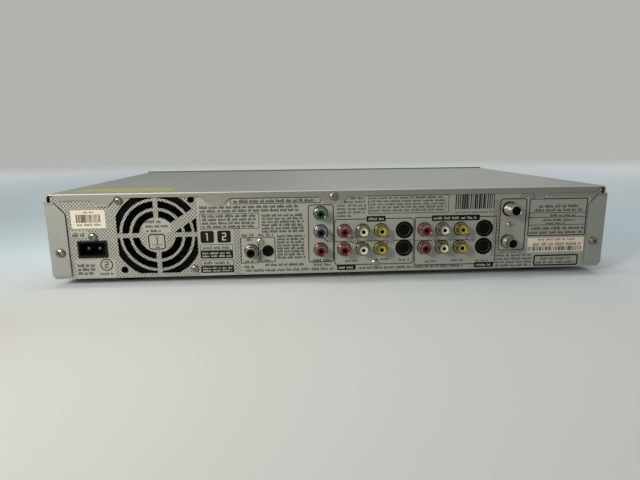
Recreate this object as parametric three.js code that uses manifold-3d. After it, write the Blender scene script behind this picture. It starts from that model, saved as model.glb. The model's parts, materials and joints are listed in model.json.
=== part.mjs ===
// A disc and hard drive video recorder in a flat sheet-metal case, in millimetres.
// +Z is up, the front faces -Y and the connector panel faces +Y. X counts from the middle,
// positive towards the mains inlet. The origin is under the middle of the case, on the table.
import * as THREE from "three";
import { mergeVertices } from "three/addons/utils/BufferGeometryUtils.js";
import Module from "manifold-3d";

const wasm = await Module();
wasm.setup();

// Driving dimensions of the whole unit.
const unitWidth = 420;
const bodyHeight = 63.4;
const bodyDepth = 268;
const footHeight = 6;
const aerialReach = 12;
const coverSheet = 1;
const panelSheet = 1;
const chassisSheet = 1.2;
const boardThickness = 1.6;
const frontWall = 3;
const frontDepth = 18;
const seatGap = 0.3;
const overrun = 1;

// How finely round things are cut.
const fineSides = 40;
const roundSides = 18;
const smallSides = 10;
const cornerSteps = 4;

// Levels and planes that follow from the driving dimensions.
const halfWidth = unitWidth / 2;
const bodyBottom = footHeight;
const bodyTop = bodyBottom + bodyHeight;
const frontFace = -(bodyDepth + aerialReach) / 2;
const rearFace = frontFace + bodyDepth;
const panelInside = rearFace - panelSheet;
const innerHalfWidth = halfWidth - coverSheet - seatGap;
const roofUnderside = bodyTop - coverSheet;
const floorTop = bodyBottom + chassisSheet;
const frontInside = frontFace + frontWall;
const frontBack = frontFace + frontDepth;
const chassisFront = frontBack + seatGap;
const chassisRear = panelInside - seatGap;
const chassisWallBack = chassisFront + chassisSheet;

// Round jacks, screws and their holes.
const jackPitch = 14;
const jackRadius = 4.15;
const jackReach = 8;
const jackHole = 1.6;
const jackHoleDepth = 9;
const collarRadius = 4.9;
const collarReach = 1.8;
const jackPanelHole = 5.6;
const videoRadius = 6.1;
const videoReach = 0.6;
const videoPanelHole = 6.4;
const videoWellRadius = 4.6;
const videoCoreRadius = 3.5;
const videoWellDepth = 4;
const videoCoreDrop = 0.8;
const aerialRadius = 4.75;
const aerialPanelHole = 5.9;
const aerialMouth = 3.2;
const aerialMouthDepth = 1;
const aerialPinHole = 0.7;
const aerialPinDepth = 8;
const screwRadius = 1.5;
const screwClearance = 0.3;
const screwHeadRadius = 3.3;
const screwHeadHeight = 2;
const screwHeadTopRadius = 2.4;
const fanScrewHead = 2.7;
const screwLength = 7;
const screwSlot = 0.9;
const screwSlotReach = 2;
const screwSlotDepth = 1;

// Places on the connector panel: X from the middle, and heights above the panel's lower edge.
const lowRowRise = 18.1;
const lowRow = bodyBottom + lowRowRise;
const highRow = lowRow + jackPitch;
const topRow = highRow + jackPitch;
const componentX = 10.4;
const outputX = -7.4;
const outputVideoX = -53.4;
const inputX = -69;
const inputVideoX = -115.6;
const digitalX = 62.8;
const controlX = 50.6;
const controlRadius = 4.2;
const controlReach = 1.2;
const controlHole = 1.8;
const aerialFromSide = 75.4;
const aerialX = aerialFromSide - halfWidth;
const aerialRise = 21.3;
const aerialLowZ = bodyBottom + aerialRise;
const aerialPitch = 25.3;

// The mains inlet.
const inletFromSide = 30.4;
const inletX = halfWidth - inletFromSide;
const inletRise = 22.3;
const inletZ = bodyBottom + inletRise;
const inletWidth = 20.6;
const inletHeight = 12.2;
const inletWall = 1.3;
const inletDepth = 18;
const inletWellDepth = 14;
const inletPinRadius = 1.2;
const inletPinPitch = 8.1;
const inletPinDrop = 3;
const inletFlange = 1.8;
const inletFlangeReach = 4;
const inletEarHeight = 8;
const inletScrewAside = 1.1;
const inletScrewX = inletX - inletScrewAside;
const inletScrewRise = 9.3;
const inletScrewZ = inletZ + inletScrewRise;

// The fan and the grille that is punched for it.
const fanSize = 60;
const fanBesideInlet = 3.5;
const fanX = inletX - inletWidth / 2 - inletFlangeReach - fanBesideInlet - fanSize / 2;
const fanRise = 2;
const fanZ = bodyBottom + fanRise + fanSize / 2;
const fanDepth = 25;
const fanWall = 1.5;
const fanBore = fanSize / 2 - fanWall;
const fanHoleInset = 4;
const fanHolePitch = fanSize - fanHoleInset * 2;
const fanHoleRadius = 2.1;
const grilleHub = 13.2;
const ringGap = 5.1;
const innerBridge = 2.1;
const outerBridge = 2;
const grilleInnerOut = grilleHub + ringGap;
const grilleMidIn = grilleInnerOut + innerBridge;
const grilleMidOut = grilleMidIn + ringGap;
const grilleOuterIn = grilleMidOut + outerBridge;
const grilleOuterOut = grilleOuterIn + ringGap;
const grilleEdge = 0.8;
const grilleHalfSpan = fanSize / 2 - grilleEdge;
const spokeWidth = 3.4;
const bandWidth = 7.2;
const bandAngle = 32;
const bandReach = 40;
const bandOffset = -1.4;
const dropHoleRadius = 2.6;

// The cover's turned-in edges at the back.
const coverCorner = 3;
const coverLift = 0.6;
const lipDepth = 4.7;
const lipEndInset = 9.7;
const lipTopInset = 5.8;
const lipTopDrop = 0.9;
const reliefInset = 3.6;
const reliefX = halfWidth - reliefInset;
const lipFanDepth = 3.2;
const lipFanNear = 27.7;
const lipFanFar = 32.4;
const tabDepth = 9.3;
const tabSlope = 4.6;
const tabSteepSlope = 2.8;
const tabAerialSlope = 1.4;
const lipFanSlope = tabDepth - lipFanDepth;
const tabFanOuter = 37;
const tabFanInner = 43.3;
const tabNearFan = fanX + tabFanOuter;
const tabBesideFan = fanX - tabFanInner;
const tabMiddle = 0.8;
const tabPastAerial = 22;
const tabAerial = aerialX - tabPastAerial;
const tabNearHalf = 5;
const tabWideHalf = 7.1;
const tabBesideHalf = 6.8;
const tabAerialHalf = 3.2;
const flangeWidth = 13.5;
const flangeShoulderDrop = 14.8;
const flangeTopDrop = 5.7;
const flangeSlope = 7.3;
const flangeLift = 2.6;
const reliefDepth = 1.6;
const flangeScrewInset = 7.6;
const flangeScrewX = halfWidth - flangeScrewInset;
const flangeScrewRise = 20.4;
const flangeScrewZ = bodyBottom + flangeScrewRise;
const topScrewDrop = 4.5;

// Feet.
const footRadius = 17;
const footTopRadius = 15;
const footPegRadius = 3;
const footPegHeight = 2;
const footFromSide = 50;
const footX = halfWidth - footFromSide;
const footFromFront = 36;
const footFromRear = 32;
const footFrontY = frontFace + footFromFront;
const footRearY = rearFace - footFromRear;

// Boards, their posts and what stands on them.
const postHeight = 5.5;
const postRadius = 3;
const boardBottom = floorTop + postHeight + seatGap;
const boardTop = boardBottom + boardThickness;
const standBottom = boardTop + seatGap;
const boardFromSide = 6;
const mainBoardLow = boardFromSide - halfWidth;
const mainBoardHigh = 72;
const mainBoardDepth = 70;
const mainBoardFront = rearFace - mainBoardDepth;
const powerBoardLow = 82;
const powerBoardHigh = halfWidth - boardFromSide;
const powerBoardFromFront = 40;
const powerBoardFromRear = 32;
const powerBoardFront = frontFace + powerBoardFromFront;
const powerBoardRear = rearFace - powerBoardFromRear;
const postInset = 6;
const blockDepth = 18;
const blockMargin = 6.6;
const blockHeadroom = 7;
const tunerDepth = 48;
const tunerHalfWidth = 13.5;
const tunerHeadroom = 8;

// The front.
const frontCorner = 7;
const displayFromSide = 34;
const displayWidth = 110;
const displayHigh = halfWidth - displayFromSide;
const displayLow = displayHigh - displayWidth;
const displayDrop = 11.4;
const displayHeight = 25;
const displayTop = bodyTop - displayDrop;
const displayBottom = displayTop - displayHeight;
const windowThickness = 2.4;
const tubeInset = 5;
const tubeThickness = 7;
const frontBoardAside = 4;
const frontBoardFromSide = 7;
const frontBoardLow = displayLow - frontBoardAside;
const frontBoardHigh = halfWidth - frontBoardFromSide;
const frontBoardRise = 6;
const frontBoardDrop = 6.4;
const frontBoardBottom = bodyBottom + frontBoardRise;
const frontBoardTop = bodyTop - frontBoardDrop;
const frontBoardInset = 1.9;
const frontBoardBack = frontBack - frontBoardInset;
const switchSize = 6;
const switchHeight = 3.5;
const buttonTravel = 0.8;
const buttonFlange = 1.2;
const buttonFlangeReach = 1.2;
const buttonStem = 2;
const powerButtonFromSide = 20;
const powerButtonX = halfWidth - powerButtonFromSide;
const powerButtonZ = (displayBottom + displayTop) / 2;
const powerButtonRadius = 6.5;
const keyRowRise = 15;
const keyRowZ = bodyBottom + keyRowRise;
const keyWidth = 15;
const keyHeight = 7;
const keyCorner = 1.6;
const openKeyAside = 14;
const openKeyX = displayLow + openKeyAside;
const keyPitch = 22;
const flapFromSide = 20;
const flapWidth = 90;
const flapLow = flapFromSide - halfWidth;
const flapHigh = flapLow + flapWidth;
const flapRise = 6;
const flapHeight = 20;
const flapBottom = bodyBottom + flapRise;
const flapTop = flapBottom + flapHeight;
const flapThickness = 2.5;
const flapPinRadius = 1;
const flapPinLength = 1.5;
const pocketPlate = 2;
const pocketPlateFront = 10.5;
const pocketJackInset = 18;
const pocketVideoInset = 20;
const pocketJackX = flapHigh - pocketJackInset;
const pocketVideoX = flapLow + pocketVideoInset;
const pocketJackGap = 0.8;

// The disc drive, whose pieces are placed from the middle of the tray.
const driveX = -14;
const driveWall = 2.5;
const driveFloor = 1.5;
const driveBoss = 1;
const driveDepth = 166;
const trayHalfWidth = 67;
const traySideGap = 0.5;
const trayFrontRise = 26;
const trayFrontBottom = bodyBottom + trayFrontRise;
const trayFloorRise = 7.2;
const trayFloorBottom = trayFrontBottom + trayFloorRise;
const trayFloor = 2;
const trayRim = 2.3;
const trayReach = 171;
const trayRear = frontFace + trayReach;
const discRecess = 61;
const discFromFront = 69;
const trayHole = 19;
const traySlotWidth = 44;
const traySlotReach = 66;
const trayFrontHeight = 16;
const trayFrontHalfWidth = 69;
const trayFrontThickness = 4;
const ledgeReach = 4;
const ledgeThickness = 2;
const driveWallRise = 10.5;
const driveWallTop = trayFloorBottom + driveWallRise;

// The rack under the tray and the gears and belt that drive it.
const gearModule = 1;
const trayGearTeeth = 16;
const pulleyGearTeeth = 10;
const gearBacklash = 0.15;
const gearThickness = 5;
const gearDrop = 5.7;
const gearBottom = trayFloorBottom - gearDrop;
const rackPitchX = -57;
const rackBack = -62.5;
const rackDrop = 6.2;
const rackBottom = trayFloorBottom - rackDrop;
const trayGearFromFront = 29.5;
const trayGearY = frontFace + trayGearFromFront;
const pressureTangent = 0.364;
const gearPin = 1.5;
const gearPostRadius = 2.2;
const pulleyDrop = 6.5;
const pulleyBottom = gearBottom - pulleyDrop;
const pulleyFlange = 0.8;
const pulleyGroove = 2.2;
const bigPulleyGroove = 7.6;
const smallPulleyGroove = 2.7;
const pulleyFlangeRise = 1.4;
const beltThickness = 1.6;
const motorOffsetX = 30;
const motorAside = 1.5;
const motorY = trayGearY + motorAside;
const motorRadius = 9;
const motorDrop = 3;
const motorTop = pulleyBottom - motorDrop;
const motorShaft = 1;
const motorShaftReach = 7;

// The optical unit, in its raised place, measured from the pivot at its back.
const pivotFromFront = 152;
const pivotY = frontFace + pivotFromFront;
const pivotDrop = 7.2;
const pivotZ = trayFloorBottom - pivotDrop;
const loweredDegrees = 6;
const pivotPin = 2;
const pivotPinReach = 6;
const unitHalfWidth = 38;
const unitFront = -104;
const unitBack = 4;
const unitBottom = -4;
const unitTop = 3;
const wellHalfWidth = 30;
const wellFront = -94;
const wellBack = -8;
const discY = frontFace + trayFrontThickness + discFromFront;
const spindleY = discY - pivotY;
const spindleMotorRadius = 11;
const spindleMotorTop = 5;
const spindlePlateFront = -92;
const spindlePlateBack = -64;
const spindlePlate = 1.5;
const spindleShaft = 1.2;
const spindleShaftTop = 12;
const tableRadius = 15;
const tableBottom = 9;
const tableTop = 10.5;
const tableHub = 4;
const coneRadius = 7.4;
const coneTopRadius = 5.6;
const coneTop = 13;
const rodRadius = 1.5;
const rodX = 24;
const rodFront = -69;
const rodBack = -5.3;
const rodPostFront = -70;
const rodPostBack = -66;
const rodPostHalfWidth = 2.5;
const sledHalfWidth = 28;
const sledHalfLength = 10;
const sledInnerRadius = 24;
const sledBottom = -2;
const sledTop = 4.5;
const lensRadius = 6;
const lensTop = 8.4;
const lensEye = 2.5;
const screwX = 14;
const leadScrewRadius = 1.4;
const leadScrewCollar = 2.2;
const leadScrewCollarLength = 1.2;
const screwMotorHalf = 5;
const screwMotorBack = 14;
const slidePinX = 20;
const slidePin = 1.5;
const slidePinReach = 7;
const slideTravel = 20;
const slideFromFront = 43;
const slideFrontY = frontFace + slideFromFront;
const slideThickness = 2;
const slideLow = -8;
const slideHigh = 30;
const slideTopDrop = 2.2;
const slideTopZ = trayFloorBottom - slideTopDrop;
const slideSlotMargin = 0.7;

// The clamp over the disc.
const bridgeThickness = 2;
const bridgeHalfDepth = 20;
const clampHole = 7;
const clampNeck = 5;
const clampRadius = 13;
const clampRise = 7;
const clampBottom = trayFloorBottom + clampRise;
const clampFlange = 9;
const clampFlangeThickness = 1.2;
const clampRecess = 1.2;

// The hard drive and its bracket.
const hddFromSide = 14;
const hddLow = hddFromSide - halfWidth;
const hddWidth = 101.6;
const hddFromFront = 36;
const hddFront = frontFace + hddFromFront;
const hddLength = 146;
const hddHeight = 26;
const hddRise = 9;
const hddBottom = bodyBottom + hddRise;
const hddLid = 2;
const hddWall = 2.6;
const hddFloor = 8;
const platterRadius = 47.5;
const platterThickness = 1.3;
const platterSpacing = 4;
const platterFirst = 2.4;
const platterHub = 12.5;
const platterHubBore = 4;
const platterY = 51;
const armPivotX = 80;
const armPivotY = 116;
const armPivotRadius = 6;
const armPin = 2;
const armThickness = 1;
const armReach = 62;
const armTipHalf = 2;
const armRootHalf = 6;
const armTail = 14;
const armTailHalf = 9;
const armParkDegrees = 160;
const bracketSheet = 1.2;
const bracketFoot = 12;
const bracketEar = 8;

// Flat cables inside.
const ribbonThickness = 0.8;
const hddRibbonWidth = 50;
const driveRibbonWidth = 32;
const ribbonSocketDepth = 5;
const ribbonSocketHeight = 5;
const ribbonRise = 14;

// Makes a closed geometry into a solid that can be joined and cut.
function solidFrom(geometry) {
  const bare = geometry.clone();
  bare.deleteAttribute("normal");
  bare.deleteAttribute("uv");
  const merged = mergeVertices(bare);
  return new wasm.Manifold(
    new wasm.Mesh({
      numProp: 3,
      vertProperties: merged.attributes.position.array,
      triVerts: new Uint32Array(merged.index.array),
    }),
  );
}

// Makes a joined or cut solid back into a geometry with flat faces.
function geometryFrom(solid) {
  const mesh = solid.getMesh();
  const geometry = new THREE.BufferGeometry();
  geometry.setAttribute("position", new THREE.BufferAttribute(mesh.vertProperties, mesh.numProp));
  geometry.setIndex(new THREE.BufferAttribute(mesh.triVerts, 1));
  const faceted = geometry.toNonIndexed();
  faceted.computeVertexNormals();
  return faceted;
}

function joined(solids) {
  return solids.reduce((whole, solid) => whole.add(solid));
}

function cut(body, tools) {
  return body.subtract(joined(tools));
}

// A block between two values on each axis.
function block(lowX, highX, lowY, highY, lowZ, highZ) {
  const box = new THREE.BoxGeometry(highX - lowX, highY - lowY, highZ - lowZ);
  box.translate((lowX + highX) / 2, (lowY + highY) / 2, (lowZ + highZ) / 2);
  return solidFrom(box);
}

// Turns a form made along +Z so that it runs along an axis, with its other two directions in X, Y, Z order.
function turnedTo(axis, geometry) {
  if (axis === "x") {
    const basis = new THREE.Matrix4().makeBasis(
      new THREE.Vector3(0, 1, 0),
      new THREE.Vector3(0, 0, 1),
      new THREE.Vector3(1, 0, 0),
    );
    geometry.applyMatrix4(basis);
  }
  if (axis === "y") geometry.rotateX(Math.PI / 2);
  return geometry;
}

// A straight or tapered round bar along an axis, at a place given by the other two coordinates.
function bar(axis, lowRadius, highRadius, low, high, first, second, sides) {
  const form = new THREE.CylinderGeometry(highRadius, lowRadius, high - low, sides);
  if (axis === "x") form.rotateZ(-Math.PI / 2);
  if (axis === "z") form.rotateX(Math.PI / 2);
  const middle = (low + high) / 2;
  if (axis === "x") form.translate(middle, first, second);
  if (axis === "y") form.translate(first, middle, second);
  if (axis === "z") form.translate(first, second, middle);
  return solidFrom(form);
}

function rod(axis, radius, low, high, first, second, sides = roundSides) {
  return bar(axis, radius, radius, low, high, first, second, sides);
}

// A flat outline drawn out along an axis.
function prism(axis, shape, low, high) {
  const form = new THREE.ExtrudeGeometry(shape, {
    depth: high - low,
    bevelEnabled: false,
    curveSegments: cornerSteps,
  });
  turnedTo(axis, form);
  if (axis === "x") form.translate(low, 0, 0);
  if (axis === "y") form.translate(0, high, 0);
  if (axis === "z") form.translate(0, 0, low);
  return solidFrom(form);
}

function outline(points) {
  return new THREE.Shape(points.map(([first, second]) => new THREE.Vector2(first, second)));
}

function roundedRectangle(lowA, highA, lowB, highB, radius) {
  const shape = new THREE.Shape();
  shape.moveTo(lowA + radius, lowB);
  shape.lineTo(highA - radius, lowB);
  shape.absarc(highA - radius, lowB + radius, radius, -Math.PI / 2, 0, false);
  shape.absarc(highA - radius, highB - radius, radius, 0, Math.PI / 2, false);
  shape.absarc(lowA + radius, highB - radius, radius, Math.PI / 2, Math.PI, false);
  shape.absarc(lowA + radius, lowB + radius, radius, Math.PI, (3 * Math.PI) / 2, false);
  return shape;
}

const unit = new THREE.Group();

function place(name, solid, material, parent = unit) {
  const mesh = new THREE.Mesh(geometryFrom(solid), material);
  mesh.name = name;
  parent.add(mesh);
  return mesh;
}

function finish(colour, roughness, metalness) {
  return new THREE.MeshStandardMaterial({ color: colour, roughness, metalness });
}

const silverPaint = finish(0xa9aca6, 0.42, 0.35);
const panelPaint = finish(0x9a998f, 0.5, 0.3);
const bareSteel = finish(0xb4b6b4, 0.35, 0.8);
const frontPlastic = finish(0xb9bab8, 0.35, 0.2);
const smokedPlastic = finish(0x15171a, 0.15, 0);
const blackPlastic = finish(0x16171a, 0.45, 0);
const greyPlastic = finish(0x5a5d5f, 0.5, 0);
const rubber = finish(0x1d1d1e, 0.85, 0);
const nickel = finish(0xc9c2ae, 0.25, 0.95);
const castMetal = finish(0x8f9295, 0.45, 0.7);
const boardGreen = finish(0x1f5a38, 0.55, 0);
const gearWhite = finish(0xe6e4da, 0.45, 0);
const ribbonGrey = finish(0xb7bcc2, 0.5, 0);
const platterMirror = finish(0xd9dcdf, 0.08, 1);
const glassDark = finish(0x1b2a2c, 0.1, 0);

// The case.

// A round hole for a screw's shank, drawn through a sheet that stands across Y.
function screwHoleY(centreX, centreZ) {
  const radius = screwRadius + screwClearance;
  const low = panelInside - screwLength - overrun;
  return rod("y", radius, low, rearFace + coverSheet + overrun * 2, centreX, centreZ, smallSides);
}

function fanCorner(sideX, sideZ) {
  return [fanX + (sideX * fanHolePitch) / 2, fanZ + (sideZ * fanHolePitch) / 2];
}

// Ring-shaped openings, kept clear of the spokes and of the wide slanting band.
function grilleOpenings() {
  const low = panelInside - overrun;
  const high = rearFace + overrun;
  const ring = (inner, outer) =>
    rod("y", outer, low, high, fanX, fanZ, fineSides).subtract(
      rod("y", inner, low - overrun, high + overrun, fanX, fanZ, fineSides),
    );
  const rings = joined([
    ring(grilleHub, grilleInnerOut),
    ring(grilleMidIn, grilleMidOut),
    ring(grilleOuterIn, grilleOuterOut),
  ]);
  const square = block(
    fanX - grilleHalfSpan, fanX + grilleHalfSpan, low, high, fanZ - grilleHalfSpan, fanZ + grilleHalfSpan,
  );
  const upright = block(
    fanX - spokeWidth / 2, fanX + spokeWidth / 2, low, high, fanZ - bandReach, fanZ + bandReach,
  );
  const level = block(
    fanX - bandReach, fanX + bandReach, low, high, fanZ - spokeWidth / 2, fanZ + spokeWidth / 2,
  );
  return cut(rings.intersect(square), [upright, level, slantingBand(low, high)]);
}

// The plain band that runs from the hub up to the side of the grille.
function slantingBand(low, high) {
  const angle = THREE.MathUtils.degToRad(bandAngle);
  const alongX = -Math.cos(angle);
  const alongZ = Math.sin(angle);
  const corner = (along, across) => [
    fanX + along * alongX + across * alongZ,
    fanZ + along * alongZ - across * alongX,
  ];
  const lower = bandOffset - bandWidth / 2 + bandWidth;
  const points = [
    corner(0, lower - bandWidth),
    corner(0, lower),
    corner(bandReach, lower),
    corner(bandReach, lower - bandWidth),
  ];
  return prism("y", outline(points), low, high);
}

function jackPlaces() {
  const places = [];
  for (const row of [lowRow, highRow, topRow]) places.push([componentX, row]);
  for (const start of [outputX, inputX]) {
    for (const row of [lowRow, highRow]) {
      for (let column = 0; column < 3; column += 1) places.push([start - column * jackPitch, row]);
    }
  }
  places.push([digitalX, lowRow]);
  return places;
}

function videoPlaces() {
  return [outputVideoX, inputVideoX].flatMap((centreX) => [lowRow, highRow].map((row) => [centreX, row]));
}

function rearPanel() {
  const plate = block(
    -innerHalfWidth, innerHalfWidth, panelInside, rearFace, bodyBottom, roofUnderside - seatGap,
  );
  const low = panelInside - overrun;
  const high = rearFace + overrun;
  const hole = (radius, [centreX, centreZ]) => rod("y", radius, low, high, centreX, centreZ);
  const tools = [grilleOpenings()];
  for (const spot of jackPlaces()) tools.push(hole(jackPanelHole, spot));
  for (const spot of videoPlaces()) tools.push(hole(videoPanelHole, spot));
  tools.push(hole(controlRadius + seatGap, [controlX, lowRow]));
  for (const centreZ of [aerialLowZ, aerialLowZ + aerialPitch]) tools.push(hole(aerialPanelHole, [aerialX, centreZ]));
  tools.push(hole(dropHoleRadius, fanCorner(1, -1)));
  tools.push(hole(dropHoleRadius, fanCorner(-1, 1)));
  for (const corner of [fanCorner(1, 1), fanCorner(-1, -1)]) tools.push(screwHoleY(...corner));
  for (const side of [-1, 1]) tools.push(screwHoleY(side * flangeScrewX, flangeScrewZ));
  tools.push(screwHoleY(tabMiddle, bodyTop - topScrewDrop));
  tools.push(screwHoleY(inletScrewX, inletScrewZ));
  for (const side of [-1, 1]) {
    const ends = [side * (reliefX - seatGap), side * halfWidth];
    tools.push(
      block(Math.min(...ends), Math.max(...ends), low, high, bodyTop - flangeTopDrop - seatGap, bodyTop),
    );
  }
  tools.push(
    block(
      inletX - inletWidth / 2 - seatGap, inletX + inletWidth / 2 + seatGap, low, high,
      inletZ - inletHeight / 2 - seatGap, inletZ + inletHeight / 2 + seatGap,
    ),
  );
  return cut(plate, tools);
}

// A tongue of the cover's rear lip that reaches further down and widens towards the lip.
function lipTab(centreX, halfWide, lowSlope, highSlope, low, high) {
  const points = [
    [centreX - halfWide - lowSlope, bodyTop - lipDepth + overrun],
    [centreX - halfWide, bodyTop - tabDepth],
    [centreX + halfWide, bodyTop - tabDepth],
    [centreX + halfWide + highSlope, bodyTop - lipDepth + overrun],
  ];
  return prism("y", outline(points), low, high);
}

// What the lip leaves clear over the fan's grille, between two slanting ends.
function lipFanOpening(low, high) {
  const points = [
    [fanX - lipFanFar - lipFanSlope, bodyTop - tabDepth],
    [fanX + lipFanNear + lipFanSlope, bodyTop - tabDepth],
    [fanX + lipFanNear, bodyTop - lipFanDepth],
    [fanX - lipFanFar, bodyTop - lipFanDepth],
  ];
  return prism("y", outline(points), low, high);
}

// The part of the connector panel that the cover's turned-in edges leave open.
function rearOpening(low, high) {
  const inner = halfWidth - flangeWidth;
  const under = bodyBottom - overrun * 2;
  const half = [
    [inner, under],
    [inner, bodyTop - flangeShoulderDrop],
    [inner + flangeSlope, bodyTop - flangeTopDrop],
    [reliefX + overrun, bodyTop - flangeTopDrop],
    [reliefX + overrun, bodyTop - lipTopDrop],
    [halfWidth - lipTopInset, bodyTop - lipTopDrop],
    [halfWidth - lipEndInset, bodyTop - lipDepth],
  ];
  const mirrored = half.map(([x, z]) => [-x, z]).reverse();
  return prism("y", outline([...half, ...mirrored]), low, high);
}

function topCover() {
  const lipInside = rearFace + seatGap;
  const lipOutside = lipInside + coverSheet;
  const bottom = bodyBottom + coverLift;
  const shape = new THREE.Shape();
  shape.moveTo(-halfWidth, bottom);
  shape.lineTo(halfWidth, bottom);
  shape.absarc(halfWidth - coverCorner, bodyTop - coverCorner, coverCorner, 0, Math.PI / 2, false);
  shape.absarc(-halfWidth + coverCorner, bodyTop - coverCorner, coverCorner, Math.PI / 2, Math.PI, false);
  const innerCorner = coverCorner - coverSheet;
  const inner = new THREE.Shape();
  inner.moveTo(-halfWidth + coverSheet, bottom - overrun);
  inner.lineTo(halfWidth - coverSheet, bottom - overrun);
  inner.absarc(halfWidth - coverCorner, bodyTop - coverCorner, innerCorner, 0, Math.PI / 2, false);
  inner.absarc(-halfWidth + coverCorner, bodyTop - coverCorner, innerCorner, Math.PI / 2, Math.PI, false);
  const shell = cut(prism("y", shape, chassisFront, lipOutside), [
    prism("y", inner, chassisFront - overrun, lipInside),
    rearOpening(lipInside - overrun, lipOutside + overrun),
  ]);
  const tabs = [
    lipTab(tabNearFan, tabNearHalf, tabSlope, tabSteepSlope, lipInside, lipOutside),
    lipTab(tabBesideFan, tabBesideHalf, tabSlope, tabSlope, lipInside, lipOutside),
    lipTab(tabMiddle, tabWideHalf, tabSlope, tabSlope, lipInside, lipOutside),
    lipTab(tabAerial, tabAerialHalf, tabAerialSlope, tabAerialSlope, lipInside, lipOutside),
  ];
  const low = lipInside - overrun;
  const high = lipOutside + overrun;
  const tools = [
    lipFanOpening(low, high),
    block(-halfWidth, -halfWidth + flangeWidth + overrun, low, high, bottom - overrun, bodyBottom + flangeLift),
    block(halfWidth - flangeWidth - overrun, halfWidth, low, high, bottom - overrun, bodyBottom + flangeLift),
    screwHoleY(tabMiddle, bodyTop - topScrewDrop),
    rod("y", fanScrewHead + seatGap * 2, low, high, ...fanCorner(1, 1)),
  ];
  for (const side of [-1, 1]) {
    const ends = [side * reliefX, side * (halfWidth + overrun)];
    tools.push(
      block(
        Math.min(...ends), Math.max(...ends), lipInside - reliefDepth, high,
        bodyTop - flangeTopDrop, bodyTop + overrun,
      ),
      screwHoleY(side * flangeScrewX, flangeScrewZ),
    );
  }
  return cut(joined([shell, ...tabs]), tools);
}

// Posts for a board, one near each of its corners.
function boardPosts(lowX, highX, lowY, highY) {
  const posts = [];
  for (const x of [lowX + postInset, highX - postInset]) {
    for (const y of [lowY + postInset, highY - postInset]) {
      posts.push(rod("z", postRadius, bodyBottom, floorTop + postHeight, x, y, smallSides));
    }
  }
  return posts;
}

const driveFront = chassisWallBack + seatGap;
const driveRear = driveFront + driveDepth;
const driveBottom = floorTop + driveBoss + seatGap;
const driveFloorTop = driveBottom + driveFloor;
const driveInnerHalf = trayHalfWidth + traySideGap;
const driveOuterHalf = driveInnerHalf + driveWall;

function baseChassis() {
  const floor = block(-innerHalfWidth, innerHalfWidth, chassisFront, chassisRear, bodyBottom, floorTop);
  const wallTop = bodyTop - coverCorner - seatGap;
  const front = block(-innerHalfWidth, innerHalfWidth, chassisFront, chassisWallBack, bodyBottom, wallTop);
  const sideTop = floorTop + postHeight * 2;
  const sides = [-1, 1].map((side) => {
    const outer = side * innerHalfWidth;
    const inner = side * (innerHalfWidth - chassisSheet);
    return block(
      Math.min(outer, inner), Math.max(outer, inner), chassisFront, chassisRear, bodyBottom, sideTop,
    );
  });
  const bosses = [];
  for (const x of [driveX - driveOuterHalf + postInset, driveX + driveOuterHalf - postInset]) {
    for (const y of [driveFront + postInset, driveRear - postInset]) {
      bosses.push(rod("z", postRadius, bodyBottom, floorTop + driveBoss, x, y, smallSides));
    }
  }
  const tools = [
    block(
      driveX - trayFrontHalfWidth, driveX + trayFrontHalfWidth, chassisFront - overrun, chassisWallBack + overrun,
      rackBottom - overrun, trayFloorBottom + trayFloor + trayRim + overrun,
    ),
  ];
  for (const [x, y] of footPlaces()) {
    tools.push(rod("z", footPegRadius + seatGap, bodyBottom - overrun, floorTop + overrun, x, y, smallSides));
  }
  const body = joined([
    floor,
    front,
    ...sides,
    ...bosses,
    ...boardPosts(mainBoardLow, mainBoardHigh, mainBoardFront, chassisRear),
    ...boardPosts(powerBoardLow, powerBoardHigh, powerBoardFront, powerBoardRear),
  ]);
  return cut(body, tools);
}

function footPlaces() {
  return [
    [-footX, footFrontY],
    [footX, footFrontY],
    [-footX, footRearY],
    [footX, footRearY],
  ];
}

function foot(x, y) {
  const top = bodyBottom - seatGap;
  return joined([
    bar("z", footRadius, footTopRadius, 0, top, x, y, roundSides),
    rod("z", footPegRadius, top - overrun, floorTop + footPegHeight, x, y, smallSides),
  ]);
}

// A cross-headed screw that goes in from behind, with its head on a face at the given Y.
function rearScrew(headFace, centreX, centreZ, headRadius = screwHeadRadius) {
  const headTop = headFace + screwHeadHeight;
  const share = headRadius / screwHeadRadius;
  const topRadius = screwHeadTopRadius * share;
  const head = bar("y", headRadius, topRadius, headFace, headTop, centreX, centreZ, roundSides);
  const shank = rod("y", screwRadius, headFace - screwLength, headFace + overrun, centreX, centreZ, smallSides);
  const slotLow = headTop - screwSlotDepth;
  const slot = (reachX, reachZ) =>
    block(
      centreX - reachX, centreX + reachX, slotLow, headTop + overrun, centreZ - reachZ, centreZ + reachZ,
    );
  const reach = screwSlotReach * share;
  return cut(joined([head, shank]), [slot(reach, screwSlot / 2), slot(screwSlot / 2, reach)]);
}

place("base_chassis", baseChassis(), bareSteel);
place("rear_panel", rearPanel(), panelPaint);
place("top_cover", topCover(), silverPaint);
const footNames = ["foot_front_left", "foot_front_right", "foot_rear_left", "foot_rear_right"];
footPlaces().forEach(([x, y], index) => place(footNames[index], foot(x, y), rubber));

const coverFace = rearFace + seatGap + coverSheet + seatGap;
const panelFace = rearFace + seatGap;
place("cover_screw_left", rearScrew(coverFace, flangeScrewX, flangeScrewZ), bareSteel);
place("cover_screw_right", rearScrew(coverFace, -flangeScrewX, flangeScrewZ), bareSteel);
place("cover_screw_top", rearScrew(coverFace, tabMiddle, bodyTop - topScrewDrop), bareSteel);
place("fan_screw_upper", rearScrew(panelFace, ...fanCorner(1, 1), fanScrewHead), bareSteel);
place("fan_screw_lower", rearScrew(panelFace, ...fanCorner(-1, -1), fanScrewHead), bareSteel);
place("inlet_screw", rearScrew(panelFace, inletScrewX, inletScrewZ), bareSteel);

// The connectors.

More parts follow.
